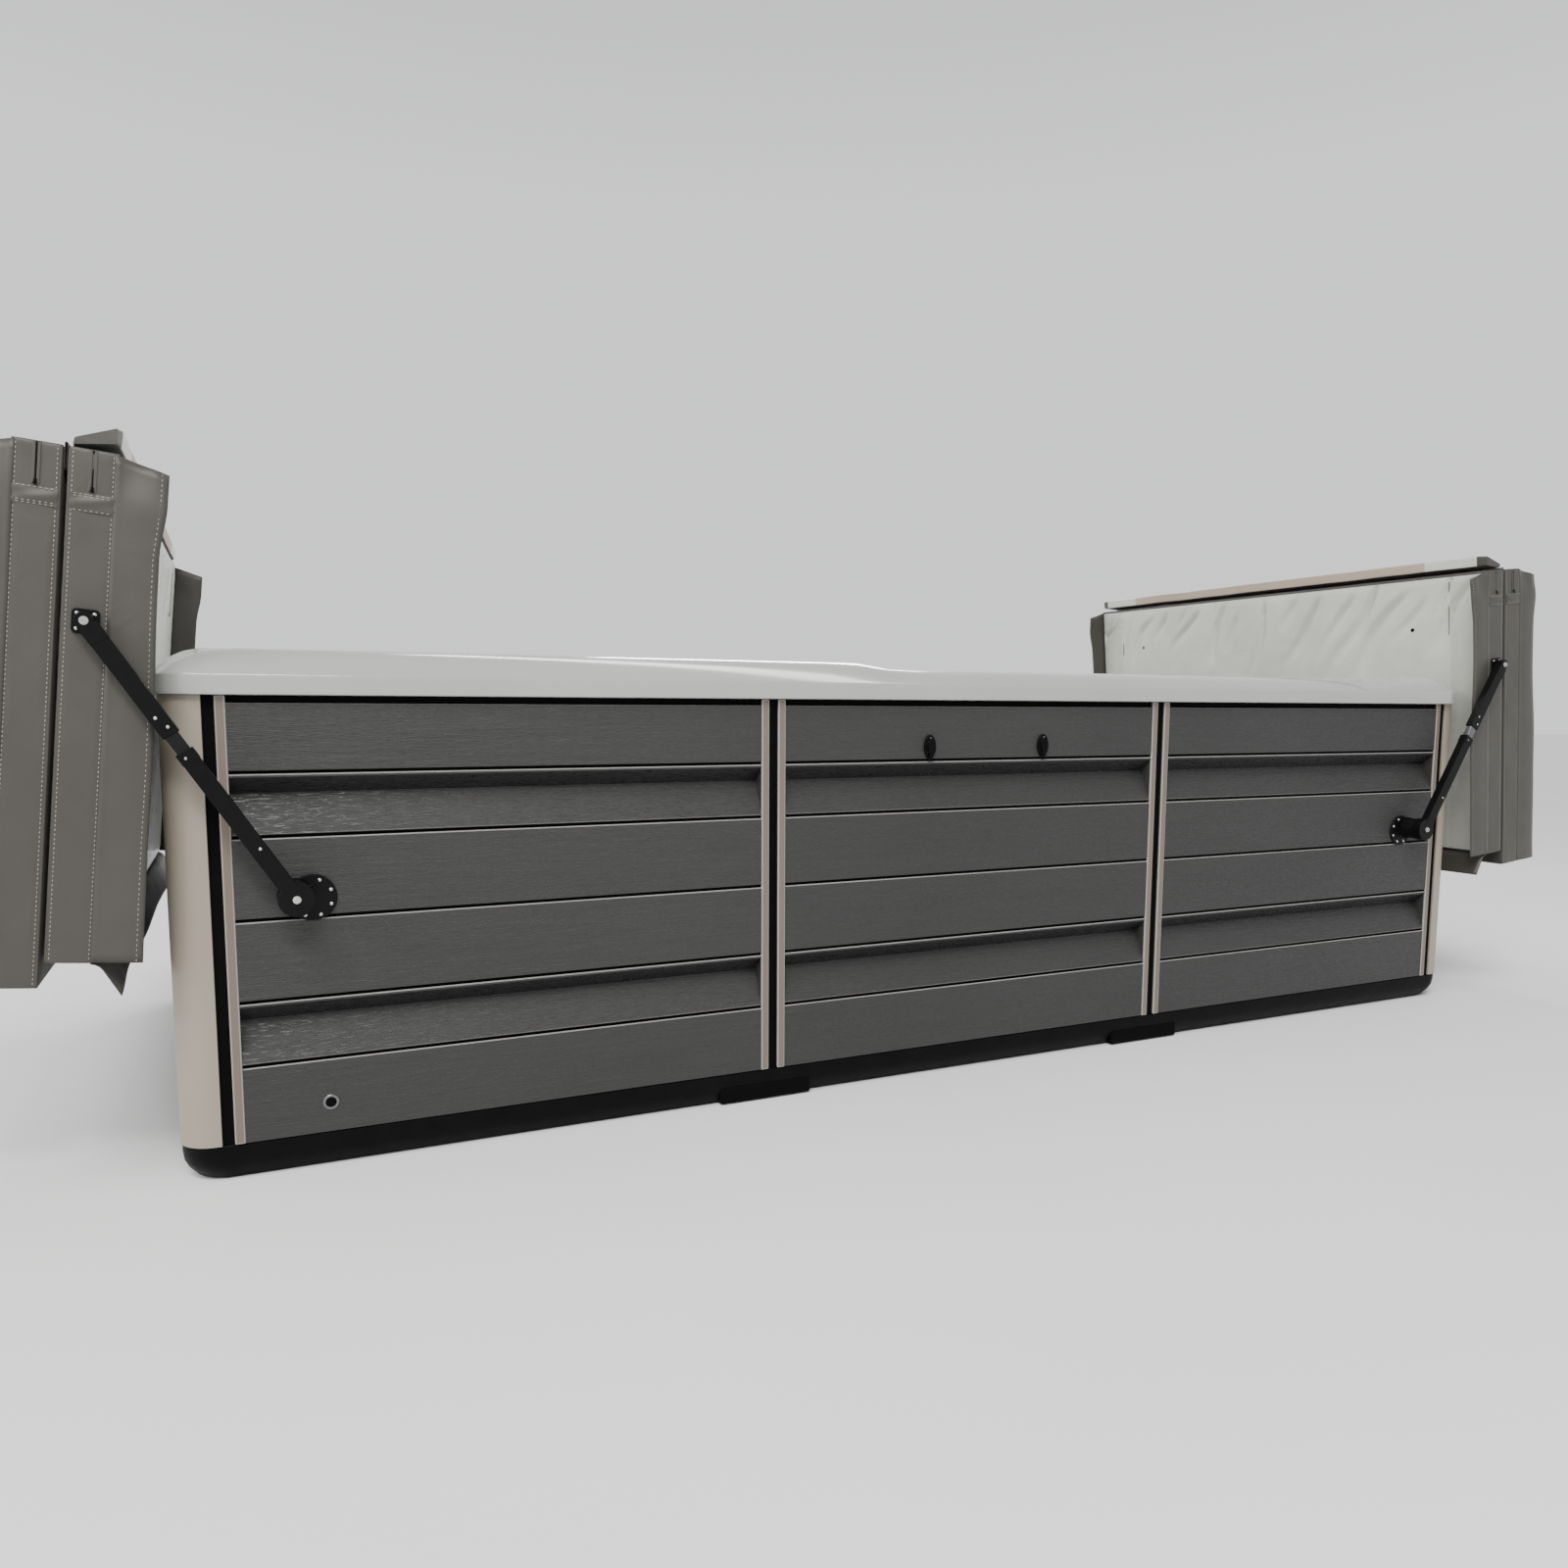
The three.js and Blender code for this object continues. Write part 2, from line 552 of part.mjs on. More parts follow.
// ---- the whole object ---------------------------------------------------------------------------------------
const object = new THREE.Group();
const spa = new THREE.Group();
object.add(spa);
addPiece(spa, "base_pan", basePan(), "blackPlastic");
addPiece(spa, "cabinet_frame", cabinetFrame(), "frame");
addPiece(spa, "spa_shell", spaShell(), "acrylic");
addCornerPosts(spa);
addPanels(spa);
addFrontFittings(spa);

for (const [side, mirror] of [["left", 1], ["right", -1]]) {
  const end = new THREE.Group();
  end.scale.set(mirror, 1, 1);
  object.add(end);
  addCover(end, side);
  for (const [place, sy] of [["front", 1], ["rear", -1]]) {
    const corner = new THREE.Group();
    corner.scale.set(1, sy, 1);
    end.add(corner);
    addLifter(corner, `${side}_${place}`);
  }
}

export default object;
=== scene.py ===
"""Looks for a swim spa with two bi-fold covers on side-arm lifters. Metres, in the CAD model's frame."""
import json
import math
import random
import bmesh
import bpy
from mathutils import Matrix, Vector, noise


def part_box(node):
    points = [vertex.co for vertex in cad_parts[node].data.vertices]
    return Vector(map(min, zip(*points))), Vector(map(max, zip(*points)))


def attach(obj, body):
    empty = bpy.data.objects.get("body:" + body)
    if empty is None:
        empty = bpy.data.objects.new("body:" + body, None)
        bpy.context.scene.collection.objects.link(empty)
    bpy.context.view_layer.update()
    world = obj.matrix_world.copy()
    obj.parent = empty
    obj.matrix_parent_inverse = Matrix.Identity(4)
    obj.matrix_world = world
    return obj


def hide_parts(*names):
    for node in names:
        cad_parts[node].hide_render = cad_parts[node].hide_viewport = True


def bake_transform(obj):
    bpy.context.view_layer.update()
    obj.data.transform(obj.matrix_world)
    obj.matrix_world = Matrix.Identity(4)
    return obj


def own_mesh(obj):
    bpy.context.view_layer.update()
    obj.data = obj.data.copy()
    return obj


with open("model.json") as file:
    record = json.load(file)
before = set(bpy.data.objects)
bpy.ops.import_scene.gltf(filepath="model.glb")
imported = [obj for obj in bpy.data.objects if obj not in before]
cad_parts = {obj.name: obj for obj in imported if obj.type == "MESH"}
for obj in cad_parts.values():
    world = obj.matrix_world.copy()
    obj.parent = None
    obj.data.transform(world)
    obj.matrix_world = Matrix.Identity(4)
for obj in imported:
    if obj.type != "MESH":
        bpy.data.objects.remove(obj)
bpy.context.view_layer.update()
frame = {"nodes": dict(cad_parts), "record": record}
SIDES = (("left", 1), ("right", -1))
PLACES = (("front", -1), ("rear", 1))
SOFT_ANGLE = 60


# ---- mesh helpers ----
def make_object(name, bm, looks, smooth=30):
    """An object with the looks named in one string. Its edges are sharp above the angle in degrees."""
    mesh = bpy.data.meshes.new(name)
    bm.to_mesh(mesh)
    bm.free()
    obj = bpy.data.objects.new(name, mesh)
    bpy.context.scene.collection.objects.link(obj)
    for key in looks.split():
        mesh.materials.append(LOOKS[key])
    if smooth:
        mesh.shade_smooth()
        mesh.set_sharp_from_angle(angle=math.radians(smooth))
        if smooth < SOFT_ANGLE:
            obj.modifiers.new("normals", "WEIGHTED_NORMAL").keep_sharp = True
    return obj


def place(bm, matrix):
    bmesh.ops.transform(bm, matrix=matrix, verts=bm.verts)
    if matrix.determinant() < 0:
        bmesh.ops.reverse_faces(bm, faces=bm.faces)


def finish_piece(obj, body, node=None):
    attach(obj, body)
    if node:
        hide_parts(node)


def piece(name, bm, looks, body, node=None, smooth=30, matrix=None):
    """A finished piece from a mesh, which the matrix moves from its own frame to the model's."""
    if matrix is not None:
        place(bm, matrix)
    finish_piece(make_object(name, bm, looks, smooth), body, node)


def basis(x_axis, y_axis, z_axis, origin):
    rows = [(x_axis[i], y_axis[i], z_axis[i], origin[i]) for i in range(3)]
    return Matrix(rows + [(0, 0, 0, 1)])


def prism(outline, low, high, bevel=0.0, segments=2):
    """A solid between two heights over an outline of (x, y) points, its rims bevelled."""
    bm = loft([[(x, y, z) for x, y in outline] for z in (low, high)])
    if bevel:
        rims = [e for e in bm.edges if abs(e.verts[0].co.z - e.verts[1].co.z) < 1e-6]
        bmesh.ops.bevel(bm, geom=rims, offset=bevel, segments=segments, affect="EDGES", profile=0.5)
    return bm


def block(corner, opposite, bevel=0.0015, segments=2):
    """A bevelled block between two opposite corners."""
    bm = bmesh.new()
    bmesh.ops.create_cube(bm, size=1)
    size = [abs(b - a) for a, b in zip(corner, opposite)]
    middle = [(a + b) / 2 for a, b in zip(corner, opposite)]
    place(bm, Matrix.Translation(middle) @ Matrix.Diagonal((*size, 1)))
    bmesh.ops.bevel(bm, geom=bm.edges[:], offset=bevel, segments=segments, affect="EDGES", profile=0.5)
    return bm


def add_to(whole, part):
    mesh = bpy.data.meshes.new("part")
    part.to_mesh(mesh)
    part.free()
    whole.from_mesh(mesh)
    bpy.data.meshes.remove(mesh)
    return whole


def arc(centre, radius, turns):
    """Points on a circle, at the given angles."""
    return [(centre[0] + radius * math.cos(a), centre[1] + radius * math.sin(a)) for a in turns]


def rounded_rectangle(half_x, half_y, radius, steps):
    points = []
    for quarter, (sx, sy) in enumerate(((1, 1), (-1, 1), (-1, -1), (1, -1))):
        turns = [(quarter + i / steps) * math.pi / 2 for i in range(steps + 1)]
        points += arc((sx * (half_x - radius), sy * (half_y - radius)), radius, turns)
    return points


def softened(points, radius, steps=3):
    """The closed outline with every corner rounded, less where its sides are short."""
    soft = []
    for i, point in enumerate(points):
        here = Vector(point)
        before, after = Vector(points[i - 1]) - here, Vector(points[(i + 1) % len(points)]) - here
        reach = min(radius, before.length * 0.4, after.length * 0.4)
        a, b = here + before.normalized() * reach, here + after.normalized() * reach
        for k in range(steps + 1):
            t = k / steps
            soft.append(tuple(a * (1 - t) ** 2 + here * 2 * t * (1 - t) + b * t * t))
    return soft


def turned(profile, sides=48, closed=False):
    """A solid of revolution about Z from (radius, height) points that start and end on the axis or meet."""
    bm = bmesh.new()
    turns = [2 * math.pi * i / sides for i in range(sides)]
    rings = []
    for radius, height in profile:
        points = arc((0, 0), radius, turns) if radius > 0 else [(0, 0)]
        rings.append([bm.verts.new((x, y, height)) for x, y in points])
    pairs = list(zip(rings, rings[1:]))
    if closed:
        pairs.append((rings[-1], rings[0]))
    for low, high in pairs:
        for i in range(sides):
            j = (i + 1) % sides
            corners = [low[i % len(low)], low[j % len(low)], high[j % len(high)], high[i % len(high)]]
            unique = list(dict.fromkeys(corners))
            if len(unique) > 2:
                bm.faces.new(unique)
    bmesh.ops.recalc_face_normals(bm, faces=bm.faces)
    return bm


def loft(rings):
    """A closed solid through rings that have the same number of points."""
    bm = bmesh.new()
    made = [[bm.verts.new(p) for p in ring] for ring in rings]
    for low, high in zip(made, made[1:]):
        for i in range(len(low)):
            j = (i + 1) % len(low)
            bm.faces.new((low[i], low[j], high[j], high[i]))
    bm.faces.new(list(reversed(made[0])))
    bm.faces.new(made[-1])
    bmesh.ops.recalc_face_normals(bm, faces=bm.faces)
    return bm


def smoothstep(low, high, value):
    t = min(max((value - low) / (high - low), 0), 1)
    return t * t * (3 - 2 * t)


# ---- materials ----
class Look:
    """A principled material whose colour, roughness and bump come from a few noise layers."""

    def __init__(self, name, roughness=0.5, metallic=0.0, coat=0.0, sheen=0.0, specular=0.5):
        self.material = bpy.data.materials.new(name)
        self.material.use_nodes = True
        self.tree = self.material.node_tree
        self.shader = self.tree.nodes["Principled BSDF"]
        self.feed(self.shader, {"Roughness": roughness, "Metallic": metallic, "Sheen Weight": sheen})
        self.feed(self.shader, {"Coat Weight": coat, "Coat Roughness": 0.08, "Specular IOR Level": specular})
        self.place = self.tree.nodes.new("ShaderNodeTexCoord").outputs["Object"]
        self.normal = None

    def feed(self, node, inputs):
        """Sets each input to a plain value, or links it to another node's output."""
        for name, value in inputs.items():
            if isinstance(value, bpy.types.NodeSocket):
                self.tree.links.new(value, node.inputs[name])
            else:
                node.inputs[name].default_value = value

    def add(self, kind, result, inputs, **settings):
        node = self.tree.nodes.new("ShaderNode" + kind)
        for name, value in settings.items():
            setattr(node, name, value)
        self.feed(node, inputs)
        return node.outputs[result]

    def mapped(self, stretch):
        return self.add("Mapping", "Vector", {"Vector": self.place, "Scale": stretch})

    def noise(self, scale, detail=4, stretch=(1, 1, 1), distortion=0.0):
        inputs = {"Vector": self.mapped(stretch), "Scale": scale, "Detail": detail, "Distortion": distortion}
        return self.add("TexNoise", "Fac", inputs)

    def cells(self, scale, feature="F1"):
        inputs = {"Vector": self.mapped((1, 1, 1)), "Scale": scale}
        return self.add("TexVoronoi", "Distance", inputs, feature=feature)

    def ramp(self, source, *stops):
        """Two colours, blended between two values of the source."""
        output = self.add("ValToRGB", "Color", {"Fac": source})
        for element, (position, color) in zip(output.node.color_ramp.elements, stops):
            element.position = position
            element.color = (*color, 1)
        return output

    def mix(self, factor, first, second, share=1.0):
        part = self.add("Math", "Value", {0: factor, 1: share}, operation="MULTIPLY")
        inputs = {"Factor": part, "A": first, "B": (*second, 1)}
        return self.add("Mix", "Result", inputs, data_type="RGBA")

    def color(self, output):
        self.feed(self.shader, {"Base Color": output})

    def rough(self, source, low, high):
        output = self.add("MapRange", "Result", {"Value": source, "To Min": low, "To Max": high})
        self.feed(self.shader, {"Roughness": output})

    def bump(self, height, strength, distance):
        inputs = {"Height": height, "Strength": strength, "Distance": distance}
        if self.normal:
            inputs["Normal"] = self.normal
        self.normal = self.add("Bump", "Normal", inputs)
        self.feed(self.shader, {"Normal": self.normal})


DARK, LIGHT = (0, 0, 0), (1, 1, 1)


def scaled(color, factor):
    return tuple(c * factor for c in color)


def tinted(look, base, scale, spread=0.12, detail=3, stretch=(1, 1, 1)):
    """The base colour, varied by a share of itself."""
    source = look.noise(scale, detail, stretch)
    return look.ramp(source, (0.3, scaled(base, 1 - spread)), (0.7, scaled(base, 1 + spread)))


def board_look(name, stretch, base=(0.0335, 0.0333, 0.0326)):
    look = Look(name, roughness=0.5, specular=0.3)
    grain = look.noise(9, 8, stretch, 0.6)
    fibres = look.noise(42, 6, stretch, 0.2)
    tone = tinted(look, base, 1.3, 0.1)
    streaked = look.mix(grain, tone, scaled(base, 1.35), 0.5)
    pits = look.ramp(look.noise(150, 4, stretch), (0.42, DARK), (0.62, LIGHT))
    look.color(look.mix(fibres, streaked, scaled(base, 0.6), 0.45))
    look.rough(pits, 0.26, 0.58)
    look.bump(grain, 0.5, 0.004)
    look.bump(fibres, 0.6, 0.0024)
    look.bump(pits, 0.6, 0.0009)
    return look.material


def trim_look(name="tan_trim", base=(0.285, 0.248, 0.2)):
    look = Look(name, roughness=0.42)
    look.color(tinted(look, base, 2.2, 0.07, stretch=(1, 1, 0.3)))
    look.rough(look.noise(30, 3), 0.36, 0.5)
    look.bump(look.noise(700, 2), 0.12, 0.0003)
    return look.material


def black_plastic_look(name="black_plastic", base=(0.0016, 0.0016, 0.0017), roughness=0.45):
    look = Look(name, roughness=roughness, specular=0.08)
    look.color(look.ramp(look.noise(14, 5), (0.35, base), (0.75, scaled(base, 1.9))))
    look.rough(look.noise(40, 3), roughness - 0.1, roughness + 0.15)
    look.bump(look.noise(420, 3), 0.25, 0.0005)
    return look.material


def acrylic_look():
    look = Look("acrylic", roughness=0.14, coat=0.9)
    base = (0.358, 0.363, 0.348)
    marble = tinted(look, base, 3.0, 0.045, 6)
    look.color(look.mix(look.noise(260, 2), marble, scaled(base, 0.93), 0.35))
    look.rough(look.noise(5, 3), 0.12, 0.24)
    look.bump(look.noise(6, 2), 0.06, 0.004)
    return look.material


def vinyl_look(name, base, roughness=0.5, sheen=0.05):
    look = Look(name, roughness=roughness, sheen=sheen)
    tone = tinted(look, base, 3.2, 0.09, 5)
    grime = look.ramp(look.noise(9, 8, distortion=0.4), (0.45, DARK), (0.8, LIGHT))
    look.color(look.mix(grime, tone, scaled(base, 0.78), 0.35))
    look.rough(look.noise(12, 4), roughness - 0.1, roughness + 0.12)
    look.bump(look.noise(7, 3, distortion=0.8), 0.28, 0.012)
    look.bump(look.cells(620, "DISTANCE_TO_EDGE"), 0.22, 0.0005)
    return look.material


def steel_look(name, base, roughness, metallic, grain=300, specular=0.5):
    look = Look(name, roughness=roughness, metallic=metallic, specular=specular)
    look.color(tinted(look, base, 20, 0.15))
    look.rough(look.noise(50, 4), roughness - 0.08, roughness + 0.12)
    look.bump(look.noise(grain, 3), 0.2, 0.0004)
    return look.material


def thread_look():
    look = Look("thread", roughness=0.7, sheen=0.2)
    look.color(tinted(look, (0.3, 0.28, 0.235), 60, 0.15))
    look.bump(look.noise(1500, 2), 0.4, 0.0003)
    return look.material


def foam_look():
    look = Look("foam", roughness=0.9)
    look.color(tinted(look, (0.85, 0.85, 0.82), 60, 0.05))
    look.bump(look.cells(260), 0.4, 0.001)
    return look.material


def floor_look():
    look = Look("pale_floor", roughness=0.85, specular=0.2)
    look.color(tinted(look, (0.8, 0.8, 0.8), 0.8, 0.015))
    look.bump(look.noise(60, 3), 0.02, 0.001)
    return look.material


LOOKS = {
    "board": board_look("board_along_x", (0.22, 3, 3)),
    "board_end": board_look("board_along_y", (3, 0.22, 3)),
    # The bevels' lighter colour is a painted highlight, standing in for the light that falls on their upward
    # faces.
    "board_edge": board_look("board_edge", (0.22, 0.22, 3), (0.24, 0.235, 0.225)),
    # The coves' downward-facing roofs are painted near black: painted shade.
    "board_recess": board_look("board_recess", (0.22, 0.22, 3), (0.011, 0.011, 0.0112)),
    "trim": trim_look("tan_strip", (0.15, 0.12, 0.097)),
    "trim_edge": trim_look("tan_strip_edge", (0.3, 0.285, 0.25)),
    "corner": trim_look(),
    "black_plastic": black_plastic_look(),
    # Near-black frame plastic; also used as painted shade in the boards' grooves, the gap under the rim, the
    # fork pockets and the drain's mouth.
    "frame": black_plastic_look("frame_black", (0.0008, 0.0008, 0.0008), 0.7),
    "acrylic": acrylic_look(),
    "vinyl": vinyl_look("vinyl_taupe", (0.043, 0.0395, 0.0328)),
    "vinyl_inside": vinyl_look("vinyl_inside", (0.56, 0.57, 0.52), 0.3, 0.0),
    "vinyl_border": vinyl_look("vinyl_border", (0.49, 0.5, 0.45), 0.34, 0.0),
    # A near-black copy of the inner tube's metal, used only on the left arms as painted shade.
    "gloss_black": steel_look("gloss_black", (0.002, 0.002, 0.002), 0.22, 0.0, 900, 0.3),
    "seal": vinyl_look("seal_beige", (0.42, 0.34, 0.27), 0.45, 0.0),
    "black_steel": steel_look("black_powder_coat", (0.003, 0.003, 0.0032), 0.4, 0.0, 900, 0.12),
    "inner_tube": steel_look("inner_tube", (0.16, 0.16, 0.165), 0.35, 0.8),
    "bolt_steel": steel_look("bolt_steel", (0.62, 0.62, 0.6), 0.3, 1.0),
    "aluminium": steel_look("aluminium", (0.5, 0.5, 0.52), 0.35, 0.9),
    "thread": thread_look(),
    "foam": foam_look(),
    "floor": floor_look(),
}


def dress_cad_nodes():
    slots = {part["node"]: part["material_slot"] for part in frame["record"]["subparts"]}
    for name, node in frame["nodes"].items():
        key = "board_end" if name.startswith("end_panel") else slots[name]
        node.data.materials.clear()
        node.data.materials.append(LOOKS[key])


# ---- cabinet ----
CABINET_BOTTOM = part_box("corner_post_front_left")[0].z
HALF_LENGTH, HALF_WIDTH, CABINET_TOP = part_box("corner_post_rear_right")[1]
CORNER_RADIUS = 0.085
POST_FLAT, POST_WALL, POST_NOSE = 0.012, 0.008, 0.001
STILE = 0.0245
BOARD_LINES = (0.295, 0.458, 0.665, 0.873, 1.033)
COVED_BOARDS = (1, 4)
COVE_DEPTH, COVE_FOLD, COVE_NOSE = 0.05, 0.7, 0.005
BEVEL = 0.003
GROOVE_DEPTH, GROOVE_BELOW, GROOVE_ABOVE = 0.012, 0.006, 0.002
SHADOW_GAP = 0.018
BOARD_BACK, BOARD_EASE = 0.0595, 0.0004
TRIM_PROUD, TRIM_SUNK = 0.002, 0.006


def corner_posts():
    """Quarter-round posts with a short flat at each end."""
    x, y = HALF_LENGTH - CORNER_RADIUS, HALF_WIDTH - CORNER_RADIUS
    end_x, end_y = x - POST_FLAT, y - POST_FLAT
    turns = [i / 24 * math.pi / 2 for i in range(25)]
    outline = [(end_x, HALF_WIDTH - POST_WALL), (end_x, HALF_WIDTH - POST_NOSE)]
    outline += [(end_x + POST_NOSE, HALF_WIDTH)]
    outline += arc((x, y), CORNER_RADIUS, reversed(turns))
    outline += [(HALF_LENGTH, end_y + POST_NOSE), (HALF_LENGTH - POST_NOSE, end_y)]
    outline += [(HALF_LENGTH - POST_WALL, end_y)]
    outline += arc((x, y), CORNER_RADIUS - POST_WALL, turns)
    for place_x, sx in (("right", 1), ("left", -1)):
        for place_y, sy in PLACES:
            name = f"corner_post_{place_y}_{place_x}"
            bm = prism(outline, CABINET_BOTTOM, CABINET_TOP)
            piece(f"{name}_trim", bm, "corner", "spa", name, matrix=Matrix.Diagonal((sx, sy, 1, 1)))


class Side:
    """A cabinet panel's own directions: a run along it, a depth behind its face and a height."""

    def __init__(self, name):
        low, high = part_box(name)
        self.name, self.at_end = name, name.startswith("end")
        self.along, self.across = (1, 0) if self.at_end else (0, 1)
        self.inward = -1 if high[self.across] > 0 else 1
        self.face = low[self.across] if self.inward > 0 else high[self.across]
        self.start, self.end = low[self.along], high[self.along]

    def point(self, run, depth, height):
        spot = [0, 0, height]
        spot[self.along], spot[self.across] = run, self.face + self.inward * depth
        return spot


def board_outline():
    """The boards' section as (depth behind the face, height): coves, and a groove over each board's bevel."""
    bottom, top = CABINET_BOTTOM + BOARD_EASE, CABINET_TOP - BOARD_EASE
    points = [(0, bottom)]
    for i, line in enumerate(BOARD_LINES):
        floor, roof = line - GROOVE_BELOW, line + GROOVE_ABOVE
        shoulder = floor - BEVEL
        if i in COVED_BOARDS:
            low, high = BOARD_LINES[i - 1] + 2 * GROOVE_ABOVE, shoulder - COVE_NOSE
            points += [(0, low), (COVE_DEPTH, low + COVE_FOLD * (high - low)), (0, high)]
        points += [(0, shoulder), (BEVEL, floor), (GROOVE_DEPTH, floor), (GROOVE_DEPTH, roof), (0, roof)]
    shadow = top - SHADOW_GAP
    points += [(0, shadow), (GROOVE_DEPTH, shadow), (GROOVE_DEPTH, top)]
    return points + [(BOARD_BACK, top), (BOARD_BACK, bottom)]


def board_look_index(depth, height, tilt):
    """0 for a board's face, 1 for a bevel with a painted highlight, 2 for a groove or the gap under the rim
    painted black as painted shade, 3 for a cove's roof with painted shade.
    """
    on_face = 0.0034
    in_groove = any(line - 0.0068 < height < line + 0.0022 for line in BOARD_LINES)
    under_rim = height > CABINET_TOP - SHADOW_GAP - 0.0006
    if depth < on_face:
        return 1 if tilt > 0.25 and not under_rim else 0
    if in_groove or under_rim:
        return 2
    return 3 if tilt < -0.3 else 0


def boarded_panels(sides):
    """Each panel's boards and its two stiles."""
    section = softened(board_outline(), 0.0014)
    for side in sides:
        rings = []
        for run in (side.start + 0.003, side.end - 0.003):
            rings.append([side.point(run, depth + 0.0003, height) for depth, height in section])
        bm = loft(rings)
        for start in (side.start + 0.0005, side.end - STILE + 0.0005):
            corner = side.point(start, 0.001, CABINET_BOTTOM + 0.001)
            add_to(bm, block(corner, side.point(start + STILE - 0.001, 0.059, CABINET_TOP - 0.001), 0.001))
        # Bevels get the painted highlight; grooves and the gap under the rim get the black frame colour and
        # the coves' roofs a darker board colour, both painted shade.
        looks = ("board_end" if side.at_end else "board") + " board_edge frame board_recess"
        obj = make_object(f"{side.name}_boards", bm, looks, 20)
        for face in obj.data.polygons:
            depth = abs(face.center[side.across] - side.face)
            face.material_index = board_look_index(depth, face.center.z, face.normal.z)
        finish_piece(obj, "spa", side.name)


def trim_strips(sides):
    """Tan strips over the stiles on both sides of each black channel, a little proud, with lighter edges that
    are a painted highlight.
    """
    whole = bmesh.new()
    for side in sides:
        for start in (side.start, side.end - STILE):
            corner = side.point(start, TRIM_SUNK, CABINET_BOTTOM)
            add_to(whole, block(corner, side.point(start + STILE, -TRIM_PROUD, CABINET_TOP), 0.0034, 3))
    obj = make_object("trim_strips", whole, "trim_edge trim")
    for face in obj.data.polygons:
        # Big flat faces take the plain tan; the rounded edges keep the lighter painted highlight.
        if max(abs(face.normal.x), abs(face.normal.y)) > 0.99 and face.area > 0.005:
            face.material_index = 1
    finish_piece(obj, "spa")


def base_pan():
    """A pan that draws in towards the foot, with two fork pockets along each long side, painted darker as
    painted shade.
    """
    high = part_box("base_pan")[1]
    profile = [(0.037, 0), (0.027, 0.006), (0.011, 0.03), (0.003, 0.05), (0, 0.075)]
    rings = []
    for inset, z in profile + [(0, high.z - 0.003), (0.003, high.z)]:
        outline = rounded_rectangle(high.x - inset, high.y - inset, CORNER_RADIUS, 16)
        rings.append([(x, y, z) for x, y in outline])
    piece("base_pan_moulding", loft(rings), "black_plastic", "spa", "base_pan")
    pockets = bmesh.new()
    for x in (-0.75, 0.75):
        for sy in (-1, 1):
            corner = (x - 0.17, sy * (high.y - 0.03), 0.004)
            add_to(pockets, block(corner, (x + 0.13, sy * (high.y + 0.001), 0.052), 0.006, 3))
    piece("fork_pockets", pockets, "frame", "spa")


# ---- shell ----
SHELL_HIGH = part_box("spa_shell")[1]
LIP_BOTTOM, LIP_TOP, CREST = CABINET_TOP + 0.0006, 1.271, SHELL_HIGH.z
RIM_WIDTH, FLOOR_DRAW, FLOOR_HEIGHT, WALL = 0.19, 0.14, 0.19, 0.012
INNER_ROUND = 0.03
WALL_RISE = CREST - 2 * INNER_ROUND - FLOOR_HEIGHT
CREST_DIP = 0.019
BASIN_RADIUS, RIM_RADIUS, CORNER_STEPS = 0.17, 0.115, 14
LONG_STEPS, SHORT_STEPS = 40, 12


def crest_share(x):
    """The crest stands full height at the ends and a little lower along the middle."""
    dip = smoothstep(-0.4, -0.3, x) * (1 - smoothstep(2.0, 2.3, x))
    return 1 - dip * CREST_DIP / (CREST - LIP_TOP)


def shell_profile():
    """(inset from the rim's edge, height, corner radius) from the floor, over the rim and back under."""
    radius, full = BASIN_RADIUS, RIM_WIDTH + FLOOR_DRAW
    rows = [(full + 0.05, FLOOR_HEIGHT, radius - 0.05), (full + 0.02, FLOOR_HEIGHT + 0.005, radius - 0.02)]
    for t in (i / 8 for i in range(9)):
        rows.append((full - FLOOR_DRAW * t, FLOOR_HEIGHT + INNER_ROUND + t * WALL_RISE, radius))
    for t in (i / 6 for i in range(1, 7)):
        angle = t * math.pi / 2
        height = CREST - INNER_ROUND * (1 - math.sin(angle))
        rows.append((RIM_WIDTH - INNER_ROUND * (1 - math.cos(angle)), height, radius - 0.02 * t))
    for t in (i / 12 for i in range(13)):
        height = LIP_TOP + (CREST - LIP_TOP) * (1 - t ** 1.9)
        rows.append((0.115 - 0.111 * t, height, RIM_RADIUS))
    for inset, height in ((0.0024, LIP_TOP - 0.003), (0.0015, LIP_TOP - 0.009), (0.0, LIP_BOTTOM + 0.006)):
        rows.append((inset, height, RIM_RADIUS))
    rows += [(0.001, LIP_BOTTOM + 0.002, RIM_RADIUS), (0.004, LIP_BOTTOM, RIM_RADIUS)]
    rows += [(RIM_WIDTH - WALL - 0.01, LIP_BOTTOM, radius), (RIM_WIDTH - WALL, LIP_BOTTOM - 0.03, radius)]
    return rows + [(full - WALL, FLOOR_HEIGHT, radius), (full + 0.02, FLOOR_HEIGHT - WALL, radius)]


def dense(ring):
    """The ring with points added along its straight stretches, the same number for every ring."""
    points = []
    for i, a in enumerate(ring):
        b = ring[(i + 1) % len(ring)]
        points.append(a)
        if (i + 1) % (CORNER_STEPS + 1) == 0:
            steps = LONG_STEPS if abs(a[0] - b[0]) > abs(a[1] - b[1]) else SHORT_STEPS
            for t in (k / steps for k in range(1, steps)):
                points.append((a[0] + (b[0] - a[0]) * t, a[1] + (b[1] - a[1]) * t))
    return points


def spa_shell():
    rings = []
    for inset, z, radius in shell_profile():
        outline = rounded_rectangle(SHELL_HIGH.x - inset, SHELL_HIGH.y - inset, radius, CORNER_STEPS)
        ring = []
        for x, y in dense(outline):
            ring.append((x, y, (z - LIP_TOP) * crest_share(x) + LIP_TOP if z > LIP_TOP else z))
        rings.append(ring)
    piece("shell_moulding", loft(rings), "acrylic", "spa", "spa_shell", 40)


